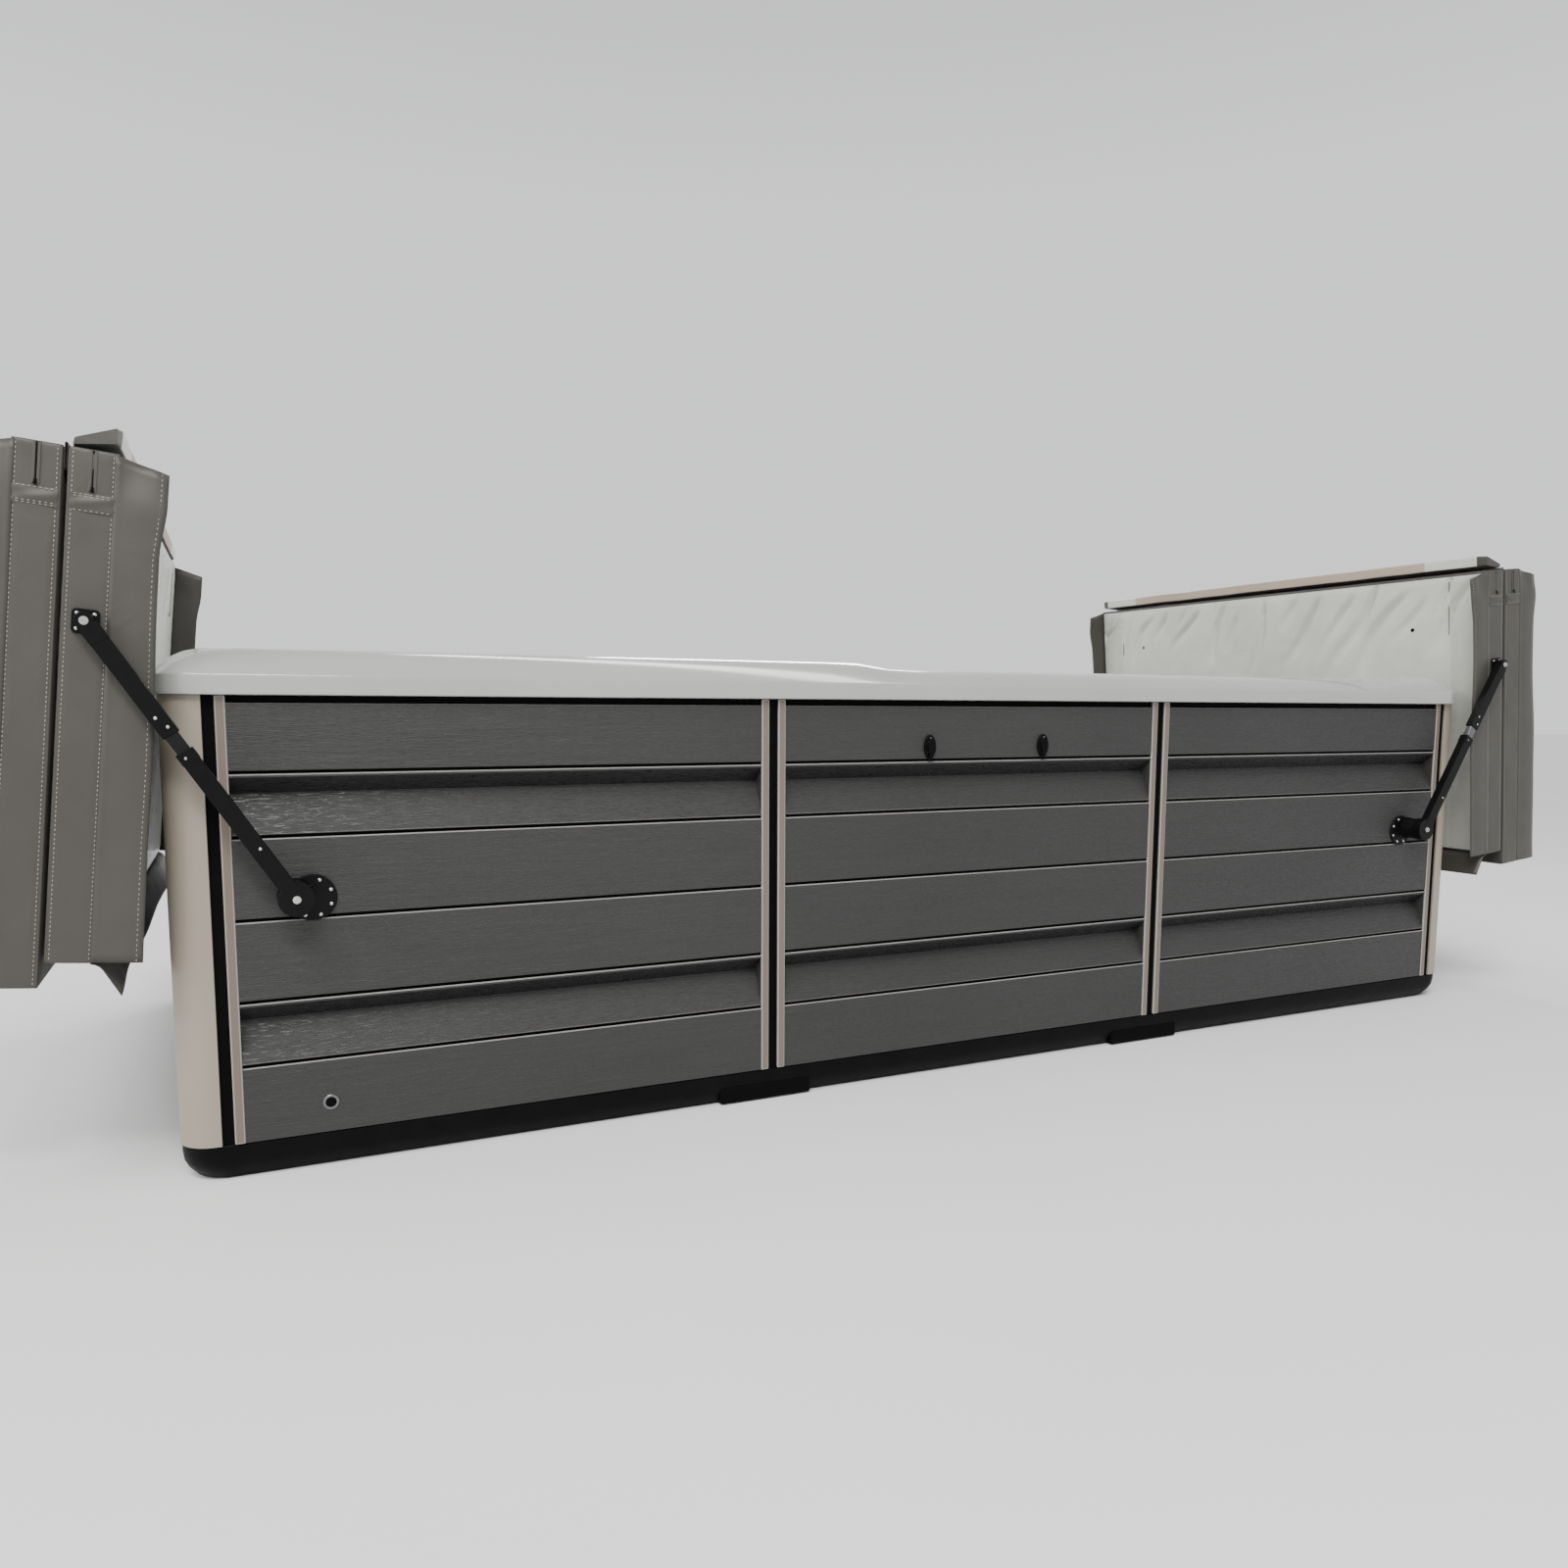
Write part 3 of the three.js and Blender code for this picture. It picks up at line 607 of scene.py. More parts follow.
def bench():
    """A solid seat across the far end with a foot well, its outer sides following the drawn walls."""
    slope = FLOOR_DRAW / WALL_RISE
    start, well_end, well_half = 1.38, 1.7, 0.33
    end, half, top = 2.045, 0.785, 0.62
    outline = [(start, -half), (end, -half), (end, half), (start, half), (start, well_half)]
    outline += [(well_end, well_half), (well_end, -well_half), (start, -well_half)]
    bm = prism(outline, FLOOR_HEIGHT - 0.005, top, 0.03, 5)
    for v in bm.verts:
        rise = slope * (v.co.z - FLOOR_HEIGHT)
        v.co.x += rise * smoothstep(end - 0.2, end, v.co.x)
        v.co.y += math.copysign(rise, v.co.y) * smoothstep(half - 0.2, half, abs(v.co.y))
    piece("bench_moulding", bm, "acrylic", "spa", smooth=50)


def jets():
    """Eight jets on the bench's back wall and two large swim jets on the far end's wall."""
    whole = bmesh.new()
    tilt = math.pi / 2 - math.atan2(FLOOR_DRAW, CREST - FLOOR_HEIGHT)
    profile = [(0, 0.004), (0.4, 0.004), (0.45, 0.012), (0.85, 0.016), (1, 0.008), (1, -0.01), (0, -0.01)]
    spots = [(1, y, z, 0.04) for y in (-0.5, -0.17, 0.17, 0.5) for z in (0.78, 0.95)]
    spots += [(-1, y, 0.95, 0.08) for y in (-0.25, 0.25)]
    for sx, y, z, radius in spots:
        wall = SHELL_HIGH.x - RIM_WIDTH - FLOOR_DRAW * (CREST - INNER_ROUND - z) / WALL_RISE
        part = turned([(r * radius, h) for r, h in profile], 32)
        place(part, Matrix.Translation((sx * (wall - 0.002), y, z)) @ Matrix.Rotation(-sx * tilt, 4, "Y"))
        add_to(whole, part)
    piece("jets", whole, "bolt_steel", "spa")


# ---- fittings on the front ----
def facing_front(x, y, z):
    """Local X to the right, local Y up and local Z out of the front face."""
    return basis((1, 0, 0), (0, 0, 1), (0, -1, 0), (x, y, z))


def latches():
    """Two drop-shaped receptacles with a raised middle, a slot for the strap's tongue and a screw."""
    for side in ("left", "right"):
        node = f"latch_receptacle_{side}"
        low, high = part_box(node)
        middle = (low + high) / 2
        half_x, half_z, depth = 0.57 * (high.x - low.x), 0.55 * (high.z - low.z), high.y - low.y
        drop = []
        for angle in (2 * math.pi * i / 40 for i in range(40)):
            narrow = 1 - 0.3 * smoothstep(0, 1, -math.sin(angle))
            drop.append((half_x * math.cos(angle) * narrow, half_z * math.sin(angle)))
        bm = prism(drop, 0, depth * 0.55, 0.003, 3)
        raised = [(x * 0.72, y * 0.62 + 0.006) for x, y in drop]
        add_to(bm, prism(raised, depth * 0.5, depth * 0.85, 0.003, 3))
        add_to(bm, block((-0.011, -0.004, depth * 0.8), (0.011, 0.012, depth), 0.002))
        add_to(bm, block((-0.008, -0.03, depth * 0.5), (0.008, -0.012, depth * 0.95), 0.003))
        matrix = facing_front(middle.x, high.y, middle.z)
        piece(f"{node}_moulding", bm, "black_plastic", "spa", node, matrix=matrix)
        dome = [(0, 0.001), (0.0024, 0.001), (0.0042, 0.0026), (0.0054, 0.001), (0.0054, -0.001), (0, -0.001)]
        matrix = facing_front(middle.x, high.y - depth * 0.6, middle.z + half_z * 0.66)
        piece(f"{node}_screw", turned(dome, 24), "bolt_steel", "spa", matrix=matrix)


def drain():
    low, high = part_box("drain_fitting")
    middle = (low + high) / 2
    matrix = facing_front(middle.x, high.y, middle.z)
    outer, bore = (high.x - low.x) / 2, 0.0135
    collar = [(bore, -0.012), (bore, 0.002), (bore + 0.002, 0.003), (outer - 0.002, 0.003), (outer, 0.0015)]
    bm = turned(collar + [(outer, 0), (outer - 0.002, -0.012)], 40, closed=True)
    piece("drain_collar", bm, "inner_tube", "spa", "drain_fitting", matrix=matrix)
    # The near-black plug in the bore is painted shade for the dark inside of the drain's opening.
    plug = [(0, 0.0012), (bore - 0.003, 0.0012), (bore - 0.0005, 0.0005), (bore - 0.0005, -0.01), (0, -0.01)]
    piece("drain_mouth", turned(plug, 40), "frame", "spa", matrix=matrix)


# ---- lifters ----
# HUB_NEAR is how far the lower arms' hubs start from the spa's middle.
COVER_LEAN = math.radians(5.5)
TUBE_HALF = 0.02
LOWER_TUBE_END, UPPER_TUBE_START = 0.43, 0.475
HUB_NEAR = 1.15


class Lifter:
    """One side arm: its bolts' centres, and frames for parts in the side's plane or along the arm."""

    def __init__(self, side, place_name, sy):
        self.side, self.name = side, f"{side}_{place_name}"
        self.lower, self.upper = self.centre("lower_bolt"), self.centre("upper_bolt")
        run = Vector((self.upper.x - self.lower.x, 0, self.upper.z - self.lower.z))
        self.length, along = run.length, run.normalized()
        self.near, self.far = self.depths("upper_arm")
        out, across = Vector((0, sy, 0)), Vector((along.z, 0, -along.x))
        self.arm = basis(across, along, out, (self.lower.x, 0, self.lower.z))
        self.plain = basis((1, 0, 0), (0, 0, 1), out, (0, 0, 0))

    def centre(self, part):
        low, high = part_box(f"{self.name}_{part}")
        return (low + high) / 2

    def depths(self, part):
        """How far a part's inner and outer faces are from the spa's middle."""
        return sorted(abs(corner.y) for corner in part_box(f"{self.name}_{part}"))

    def at(self, x, z, depth=0.0):
        return self.plain @ Matrix.Translation((x, z, depth))

    def add(self, suffix, bm, look, body, node=None, matrix=None):
        node = node and f"{self.name}_{node}"
        piece(f"{self.name}_{suffix}", bm, look, body, node, matrix=matrix)


def screws_at(matrices, radius, height, sides):
    """Round heads with a socket, one at each matrix."""
    dome = [(radius * math.cos(a), height * math.sin(a)) for a in (0, 0.4, 0.8, 1.15)]
    socket = [(radius * 0.38, height), (radius * 0.34, height * 0.45), (0, height * 0.4)]
    whole = bmesh.new()
    for matrix in matrices:
        screw = turned([(0, -0.001), (radius, -0.001)] + dome + socket, sides)
        place(screw, matrix)
        add_to(whole, screw)
    return whole


def bracket(lifter):
    """The flange on the cabinet with its ring of screws, and the boss that carries the arm."""
    low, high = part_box(f"{lifter.name}_bracket")
    lower, radius = lifter.lower, (high.z - low.z) / 2
    inboard = high.x if lower.x < 0 else low.x
    centre_x, centre_z = inboard - math.copysign(radius, inboard - lower.x), (low.z + high.z) / 2
    face, screw_circle, clear_of_boss = HALF_WIDTH + 0.0003, 0.0475, 0.046
    height = lifter.depths("bracket")[1] - face
    bm = turned([(0, 0), (radius, 0), (radius, 0.004), (radius - 0.002, 0.006), (0, 0.006)], 64)
    place(bm, lifter.at(centre_x, centre_z, face))
    boss = [(0, 0.003), (0.043, 0.003), (0.0405, 0.012), (0.039, height - 0.008), (0.036, height - 0.001)]
    part = turned(boss + [(0.034, height), (0, height)], 56)
    place(part, lifter.at(lower.x, lower.z, face))
    lifter.add("bracket_casting", add_to(bm, part), "black_steel", "spa", "bracket")
    ring = arc((centre_x, centre_z), screw_circle, [(i + 0.5) / 8 * 2 * math.pi for i in range(8)])
    clear = [(x, z) for x, z in ring if math.hypot(x - lower.x, z - lower.z) >= clear_of_boss]
    screws = screws_at([lifter.at(x, z, face + 0.006) for x, z in clear], 0.0048, 0.003, 20)
    lifter.add("flange_screws", screws, "bolt_steel", "spa")


def set_screws(lifter, end, spots, depth):
    """Small screws in an arm's outer face, each at (across, along)."""
    matrices = [lifter.arm @ Matrix.Translation((across, along, depth)) for across, along in spots]
    screws = screws_at(matrices, 0.0038, 0.0014, 18)
    lifter.add(f"{end}_set_screws", screws, "bolt_steel", f"{lifter.name}_{end}")


def lower_arm(lifter):
    """The outer tube with a hub on the boss and a collar at its open end."""
    near, far, end, half = lifter.near, lifter.far, LOWER_TUBE_END, TUBE_HALF
    bm = block((-half, 0, near), (half, end, far), 0.0025, 3)
    hub = [(0, HUB_NEAR), (0.041, HUB_NEAR), (0.043, HUB_NEAR + 0.002), (0.043, far - 0.003)]
    add_to(bm, turned(hub + [(0.041, far - 0.001), (0.012, far - 0.001), (0, far - 0.001)], 56))
    lip = 0.0012
    add_to(bm, block((-half - lip, end - 0.03, near - lip), (half + lip, end + 0.001, far + lip), 0.002))
    lifter.add("lower_arm_tube", bm, "black_steel", f"{lifter.name}_lower", "lower_arm", lifter.arm)
    set_screws(lifter, "lower", [(0.004, 0.15), (-0.006, end - 0.015)], far + 0.0003)


def upper_arm(lifter):
    """The outer tube with an eye at the cover, and the inner tube that slides in the lower arm."""
    near, far, length, half = lifter.near, lifter.far, lifter.length, TUBE_HALF
    body, start = f"{lifter.name}_upper", UPPER_TUBE_START
    end, lip = length - 0.012, 0.001
    bm = block((-half, start, near), (half, end, far), 0.0025, 3)
    eye = [(0, near), (0.018, near), (0.02, near + 0.002), (0.02, far - 0.002), (0.018, far), (0, far)]
    part = turned(eye, 40)
    place(part, Matrix.Translation((0, length, 0)))
    add_to(bm, part)
    add_to(bm, block((-half - lip, length - 0.055, near + lip), (half + lip, end, far + lip), 0.002))
    lifter.add("upper_arm_tube", bm, "black_steel", body, "upper_arm", lifter.arm)
    inner = block((-0.016, 0.2, near + 0.004), (0.016, start + 0.005, far - 0.004), 0.0025, 3)
    # The left arms' inner tubes are painted near black as painted shade; the right ones show the grey metal.
    look = "inner_tube" if lifter.side == "right" else "gloss_black"
    piece(f"{lifter.name}_inner_tube", inner, look, body, matrix=lifter.arm)
    set_screws(lifter, "upper", [(0.005, start + 0.02), (-0.005, start + 0.05)], far)


def bolts(lifter):
    """The pivot bolts: shank, washer and a head with a socket."""
    far = lifter.far
    for end, body in (("lower", "spa"), ("upper", f"{lifter.side}_pivots")):
        inner, outer = lifter.depths(f"{end}_bolt")
        head = outer - far
        profile = [(0, inner), (0.0055, inner), (0.0055, far + 0.0002), (0.0095, far + 0.0002)]
        profile += [(0.0095, far + 0.0012), (0.0078, far + 0.0014), (0.0078, far + head * 0.75)]
        profile += [(0.0066, outer - 0.0005), (0.0036, outer - 0.0003), (0.0032, far + head * 0.4)]
        centre = lifter.centre(f"{end}_bolt")
        bm = turned(profile + [(0, far + head * 0.35)], 32)
        lifter.add(f"{end}_bolt_turned", bm, "bolt_steel", body, f"{end}_bolt", lifter.at(centre.x, centre.z))


def cover_plate(lifter):
    """The square plate on the cover's side, leaning with it, and its four screws."""
    near, far = lifter.depths("cover_plate")
    upper, half, spacing = lifter.upper, 0.028, 0.0175
    lean = Matrix.Rotation(math.copysign(COVER_LEAN, upper.x), 4, "Z")
    matrix, body = lifter.at(upper.x, upper.z) @ lean, f"{lifter.side}_lifted_half"
    bm = prism(rounded_rectangle(half, half, 0.01, 6), near, far, 0.0015, 3)
    boss = [(0, far - 0.001), (0.0165, far - 0.001), (0.0165, far + 0.0025), (0.015, far + 0.0032)]
    add_to(bm, turned(boss + [(0, far + 0.0032)], 40))
    lifter.add("plate_pressing", bm, "black_steel", body, "cover_plate", matrix)
    spots = [(sx * spacing, sz * spacing, far) for sx in (-1, 1) for sz in (-1, 1)]
    screws = screws_at([matrix @ Matrix.Translation(spot) for spot in spots], 0.0042, 0.0026, 20)
    lifter.add("plate_screws", screws, "bolt_steel", body)


# ---- covers ----
SKIN_ROUND, CLOTH_STEP, CLOTH_FRAMES = 0.009, 0.02, 16
CORE_INSET = 0.021
STITCH_PITCH, STITCH_LENGTH = 0.0105, 0.0066
SKIRT_DEPTH, SKIRT_THICKNESS, SEWN = 0.1, 0.0016, 0.008
HANDLE_WIDTH, ZIP_LENGTH = 0.042, 0.1
EYELET_FROM_HINGE, EYELET_FROM_MIDDLE = 0.22, 0.82
STRIP_GAP, STRIP_LEG = 0.008, 0.055


class Panel:
    """One half of a cover. Local X runs from its first edge, Y across and Z from the underside up."""

    def __init__(self, side, mirror, half):
        self.side, self.half, self.name = side, half, f"{side}_{half}"
        self.body = f"{self.name}_half"
        flip = 1 if half == "lifted" else -1
        up = Vector((mirror * math.sin(COVER_LEAN), 0, math.cos(COVER_LEAN))) * flip
        over = Vector((-mirror * math.cos(COVER_LEAN), 0, math.sin(COVER_LEAN))) * flip
        points = [v.co for v in frame["nodes"][f"{self.name}_skin"].data.vertices]
        runs, depths = [p.dot(up) for p in points], [p.dot(over) for p in points]
        self.length, self.thickness = max(runs) - min(runs), max(depths) - min(depths)
        self.half_width = max(p.y for p in points)
        self.matrix = basis(up, (0, 1, 0), over, up * min(runs) + over * min(depths))
        # The hinge edge is the lifted half's far end and the folded half's first end.
        self.hinge_u = self.length if half == "lifted" else 0.0
        self.inward = -flip
        self.seed = {"left": 0, "right": 50}[side] + {"lifted": 0, "folded": 20}[half]
        self.folds = {True: slack_folds(self.seed, -mirror), False: slack_folds(self.seed + 1, mirror)}

    def from_hinge(self, distance):
        return self.hinge_u + self.inward * distance

    def inset(self, point):
        """How far a point is from the nearest edge, seen from above."""
        return min(point.x, self.length - point.x, self.half_width - abs(point.y))

    def add(self, suffix, bm, look, slot="vinyl", smooth=SOFT_ANGLE, node=None):
        piece(f"{self.name}_{suffix}", bm, look, self.body, node, smooth, self.matrix)

    def set_down(self, obj):
        """Moves a mesh from the panel's frame to the model's."""
        obj.data.transform(self.matrix)
        if self.matrix.determinant() < 0:
            obj.data.flip_normals()


def grid_lines(length, radius, step):
    edge = [0, radius * 0.18, radius * 0.55, radius]
    count = max(1, round((length - 2 * radius) / step))
    middle = [radius + (length - 2 * radius) * i / count for i in range(1, count)]
    return edge + middle + [length - v for v in reversed(edge)]


def rounded_box(size, radius, steps):
    """A closed box of quads with rounded edges, from the origin to size."""
    lines = [grid_lines(length, radius, step) for length, step in zip(size, steps)]
    bm = bmesh.new()
    made = {}

    def vertex(key):
        if key not in made:
            point = Vector([line[i] for line, i in zip(lines, key)])
            inner = Vector([min(max(c, radius), s - radius) for c, s in zip(point, size)])
            away = point - inner
            made[key] = bm.verts.new(inner + away.normalized() * radius if away.length > 0 else point)
        return made[key]

    counts = [len(line) - 1 for line in lines]
    for axis in range(3):
        a, b = [n for n in range(3) if n != axis]
        for end in (0, counts[axis]):
            for i in range(counts[a]):
                for j in range(counts[b]):
                    corners = []
                    for da, db in ((0, 0), (1, 0), (1, 1), (0, 1)):
                        key = [0, 0, 0]
                        key[axis], key[a], key[b] = end, i + da, j + db
                        corners.append(vertex(tuple(key)))
                    bm.faces.new(corners)
    bmesh.ops.recalc_face_normals(bm, faces=bm.faces)
    return bm


def slack_folds(seed, slant):
    """A few long soft folds from the hinge edge: start, direction, length, width and depth of each."""
    draw = random.Random(seed)
    folds = []
    for i in range(23):
        v = -1.1 + 2.2 * (i + draw.uniform(-0.4, 0.4)) / 22
        angle = slant * draw.uniform(0.35, 0.85) * (0.6 if abs(v) < 0.3 else 1)
        length, from_hinge = draw.uniform(0.22, 0.55), draw.uniform(0.0, 0.06)
        folds.append((v, from_hinge, angle, length, draw.uniform(0.013, 0.026), draw.uniform(0.25, 1)))
    return folds


def fold_depth(folds, from_hinge, v):
    """Valleys of the folds in metres, with a smaller ridge on one side of each."""
    depth = 0.0
    for start_v, start_d, angle, length, width, share in folds:
        d, across = from_hinge - start_d, v - start_v
        along = d * math.cos(angle) + across * math.sin(angle)
        aside = across * math.cos(angle) - d * math.sin(angle) + 0.03 * math.sin(along * 9 + start_v * 20)
        if not -0.02 < along < length:
            continue
        fade = smoothstep(-0.02, 0.08, along) * smoothstep(length, length * 0.35, along)
        off = aside / (width * (0.6 + along / length))
        if abs(off) < 4:
            depth += share * fade * (math.exp(-(off ** 2)) - 0.6 * math.exp(-((off - 1.6) ** 2)))
    return min(depth * 0.019, 0.0178)


def wrinkle(panel, u, v, under):
    """Slack in the fabric: long folds, puckers beside the side seams and broad soft waves."""
    seed = panel.seed + (5 if under else 0)
    edge = panel.half_width - abs(v)
    long_folds = fold_depth(panel.folds[under], abs(u - panel.hinge_u), v)
    pucker = math.sin(u * 150 + 4 * noise.noise(Vector((u * 5, seed, 0))))
    pucker *= math.exp(-(((edge - 0.16) / 0.022) ** 2))
    hem = math.sin(u * 110 + 3 * noise.noise(Vector((u * 4, seed + 2, 0)))) * smoothstep(0.06, 0.015, edge)
    slack = noise.noise(Vector((u * 3.1, v * 2.2, seed + 9)))
    depth = long_folds + 0.0014 * pucker + 0.0007 * hem + 0.0035 * slack + 0.002
    return depth if under else depth * 0.5


def simulate(obj, panel):
    """Inflates the skin a little with cloth, its edges pinned, and caps how far each point moves."""
    start = [v.co.copy() for v in obj.data.vertices]
    pins = obj.vertex_groups.new(name="pins")
    pins.add([v.index for v in obj.data.vertices if panel.inset(v.co) < 0.02], 1.0, "ADD")
    cloth = obj.modifiers.new("cloth", "CLOTH")
    values = {"quality": 4, "mass": 0.35, "tension_stiffness": 12, "compression_stiffness": 12}
    values |= {"bending_stiffness": 0.4, "shrink_min": -0.012, "vertex_group_mass": "pins"}
    values |= {"use_pressure": True, "uniform_pressure_force": 3.0}
    for key, value in values.items():
        setattr(cloth.settings, key, value)
    cloth.settings.effector_weights.gravity = 0
    cloth.collision_settings.use_collision = False
    cloth.point_cache.frame_start = 1
    cloth.point_cache.frame_end = CLOTH_FRAMES
    for step in range(1, CLOTH_FRAMES + 1):
        bpy.context.scene.frame_set(step)
    moved = obj.evaluated_get(bpy.context.evaluated_depsgraph_get()).to_mesh()
    ends = [v.co.copy() for v in moved.vertices]
    obj.modifiers.remove(cloth)
    bpy.context.scene.frame_set(1)
    for v, a, b in zip(obj.data.vertices, start, ends):
        shift = b - a
        rise = min(max(shift.z, -0.004), 0.004 if a.z > 0.05 else 0.006)
        v.co = a + Vector((shift.x * 0.5, shift.y * 0.5, rise))


def subdivided(obj):
    """Replaces the mesh with its once subdivided surface, so that folds finer than the cloth's cells show."""
    modifier = obj.modifiers.new("subdivide", "SUBSURF")
    modifier.levels = 1
    finer = bpy.data.meshes.new_from_object(obj.evaluated_get(bpy.context.evaluated_depsgraph_get()))
    obj.modifiers.remove(modifier)
    obj.data = finer


def cover_skin(panel):
    """The padded skin: pale underside with a border beyond the seams, slack folds and soft sides."""
    half, thick = panel.half_width, panel.thickness
    bm = rounded_box((panel.length, 2 * half, thick), SKIN_ROUND, (CLOTH_STEP, CLOTH_STEP, 0.016))
    bmesh.ops.translate(bm, vec=(0, -half, 0), verts=bm.verts)
    obj = make_object(f"{panel.name}_cover", bm, "vinyl vinyl_inside vinyl_border", 0)
    simulate(obj, panel)
    subdivided(obj)
    margin, most, corner = 0.016, 0.0028, 0.012
    for v in obj.data.vertices:
        if panel.inset(v.co) > margin:
            under = v.co.z < thick / 2
            fold = wrinkle(panel, v.co.x, v.co.y, under)
            v.co.z += fold - 0.001 if under else -fold
            v.co.z = min(max(v.co.z, -most), thick + most)
        elif half - abs(v.co.y) < 0.004 and corner < v.co.z < thick - corner:
            wave = noise.noise(Vector((v.co.x * 7, v.co.z * 9, panel.seed + math.copysign(3, v.co.y))))
            v.co.y += math.copysign(0.0022 * wave - 0.001, v.co.y)
    for face in obj.data.polygons:
        if face.center.z < 0.02 and panel.inset(face.center) > 0.0125:
            face.material_index = 2 if half - abs(face.center.y) < 0.155 else 1
    obj.data.shade_smooth()
    panel.set_down(obj)
    finish_piece(obj, panel.body, f"{panel.name}_skin")


def inner_parts(panel):
    """The foam core and the metal channel at the hinge edge, a little smaller than the slack skin."""
    half, thick, inset = panel.half_width - CORE_INSET, panel.thickness - CORE_INSET, CORE_INSET
    deep, wall = 0.04, 0.003
    start, end = panel.from_hinge(inset + deep + 0.001), panel.length - panel.from_hinge(inset)
    foam = block((start, -half, inset), (end, half, thick), 0.006, 3)
    a, b, inner = [panel.from_hinge(inset + distance) for distance in (0, deep, wall)]
    section = [(a, inset), (b, inset), (b, inset + wall), (inner, inset + wall), (inner, thick - wall)]
    section = softened(section + [(b, thick - wall), (b, thick), (a, thick)], 0.0008, 2)
    channel = loft([[(x, y, z) for x, z in section] for y in (-half + 0.02, half - 0.02)])
    for bm, node, look in ((foam, "core", "foam"), (channel, "stiffener", "aluminium")):
        panel.add(f"{node}_inner", bm, look, look, 40, f"{panel.name}_{node}")


def seam(start, end, normal):
    """A seam's start, run, direction along it and direction beside it."""
    start, normal = Vector(start), Vector(normal)
    run = Vector(end) - start
    along = run.normalized()
    return start, run, along, along.cross(normal).normalized(), normal


def stitch_run(whole, start, end, normal):
    """A row of stitches: stretched octahedra that lie along the seam."""
    start, run, along, side, normal = seam(start, end, normal)
    count = max(1, int(run.length / STITCH_PITCH))
    half, wide, high = STITCH_LENGTH / 2, 0.0012, 0.0009
    for i in range(count):
        middle = start + run * ((i + 0.5) / count)
        tips = [whole.verts.new(middle + along * s * half) for s in (-1, 1)]
        ring = [middle + side * wide, middle + normal * high, middle - side * wide, middle - normal * high]
        ring = [whole.verts.new(p) for p in ring]
        for k in range(4):
            whole.faces.new((tips[1], ring[k], ring[(k + 1) % 4]))
            whole.faces.new((tips[0], ring[(k + 1) % 4], ring[k]))


def piping(whole, start, end, radius, normal):
    """A round welt with a slight waver."""
    start, run, along, side, normal = seam(start, end, normal)
    count = max(2, int(run.length / 0.04))
    rings = []
    for i in range(count + 1):
        middle = start + run * i / count
        wave = 0.0006 * noise.noise(middle * 14) / radius
        ring = []
        for angle in (k / 8 * 2 * math.pi for k in range(8)):
            ring.append(middle + (side * math.cos(angle) + normal * (math.sin(angle) + wave)) * radius)
        rings.append(ring)
    add_to(whole, loft(rings))


def cover_seams(panel):
    """Welts along the edges of the side strips and the underside's seams, and light stitches beside them."""
    stitches, welts = bmesh.new(), bmesh.new()
    length, half, thick = panel.length, panel.half_width, panel.thickness
    for sy in (-1, 1):
        out, y, welt_y = (0, sy, 0), sy * (half + 0.0004), sy * (half - 0.0035)
        for w, welt_w in ((0.0105, 0.0045), (thick - 0.0105, thick - 0.0045)):
            stitch_run(stitches, (0.008, y, w), (length - 0.008, y, w), out)
            piping(welts, (0.006, welt_y, welt_w), (length - 0.006, welt_y, welt_w), 0.0032, out)
    for u, sign in ((0.0, -1), (length, 1)):
        for w in (0.0045, thick - 0.0045):
            x = u - sign * 0.0035
            piping(welts, (x, -half + 0.006, w), (x, half - 0.006, w), 0.0032, (sign, 0, 0))
    for sy in (-1, 1):
        y = sy * (half - 0.165)
        piping(welts, (0.03, y, 0.0002), (length - 0.03, y, 0.0002), 0.0016, (0, 0, -1))
    panel.add("stitches", stitches, "thread")
    panel.add("welts", welts, "vinyl")


def handle_band(panel, sy, low, high):
    """A flat band of vinyl over the side strip, standing off it in the middle."""
    half, rings = panel.half_width, []
    for t in (i / 16 for i in range(17)):
        w = 0.007 + (panel.thickness - 0.014) * t
        lift = 0.0012 + 0.0045 * math.sin(math.pi * t) ** 0.6
        ring = []
        for s in (k / 12 for k in range(13)):
            crown = lift * (0.35 + 0.65 * math.sin(math.pi * s)) + 0.0008 * math.sin(9 * s + 5 * t)
            ring.append((low + (high - low) * s, sy * (half + crown), w))
        rings.append(ring + [(high, sy * (half - 0.002), w), (low, sy * (half - 0.002), w)])
    return loft(rings)


def short_zip(panel, sy, lips, dark):
    """The zip between the band and the hinge edge: lips, the teeth between them, a puller and its ring."""
    half, middle = panel.half_width, panel.thickness / 2
    start, end = panel.from_hinge(0.004), panel.from_hinge(ZIP_LENGTH - 0.004)

    def bar(ends, depths, heights, bevel, segments=2):
        corner, opposite = [(x, sy * (half + y), middle + z) for x, y, z in zip(ends, depths, heights)]
        return block(corner, opposite, bevel, segments)

    for lip in (-0.005, 0.005):
        add_to(lips, bar((start, end), (-0.002, 0.0026), (lip - 0.0032, lip + 0.0032), 0.0014, 3))
    add_to(dark, bar((start, end), (-0.002, 0.0012), (-0.0018, 0.0018), 0.0005))
    puller = panel.from_hinge(ZIP_LENGTH - 0.012)
    add_to(dark, bar((puller - 0.0035, puller + 0.0035), (0, 0.006), (-0.003, 0.003), 0.001))
    ring = turned([(0.0026, -0.0009), (0.0043, -0.0009), (0.0043, 0.0009), (0.0026, 0.0009)], 24, closed=True)
    spot = (puller + panel.inward * 0.007, sy * (half + 0.0075), middle)
    place(ring, Matrix.Translation(spot) @ Matrix.Rotation(math.pi / 2, 4, "X"))
    add_to(dark, ring)


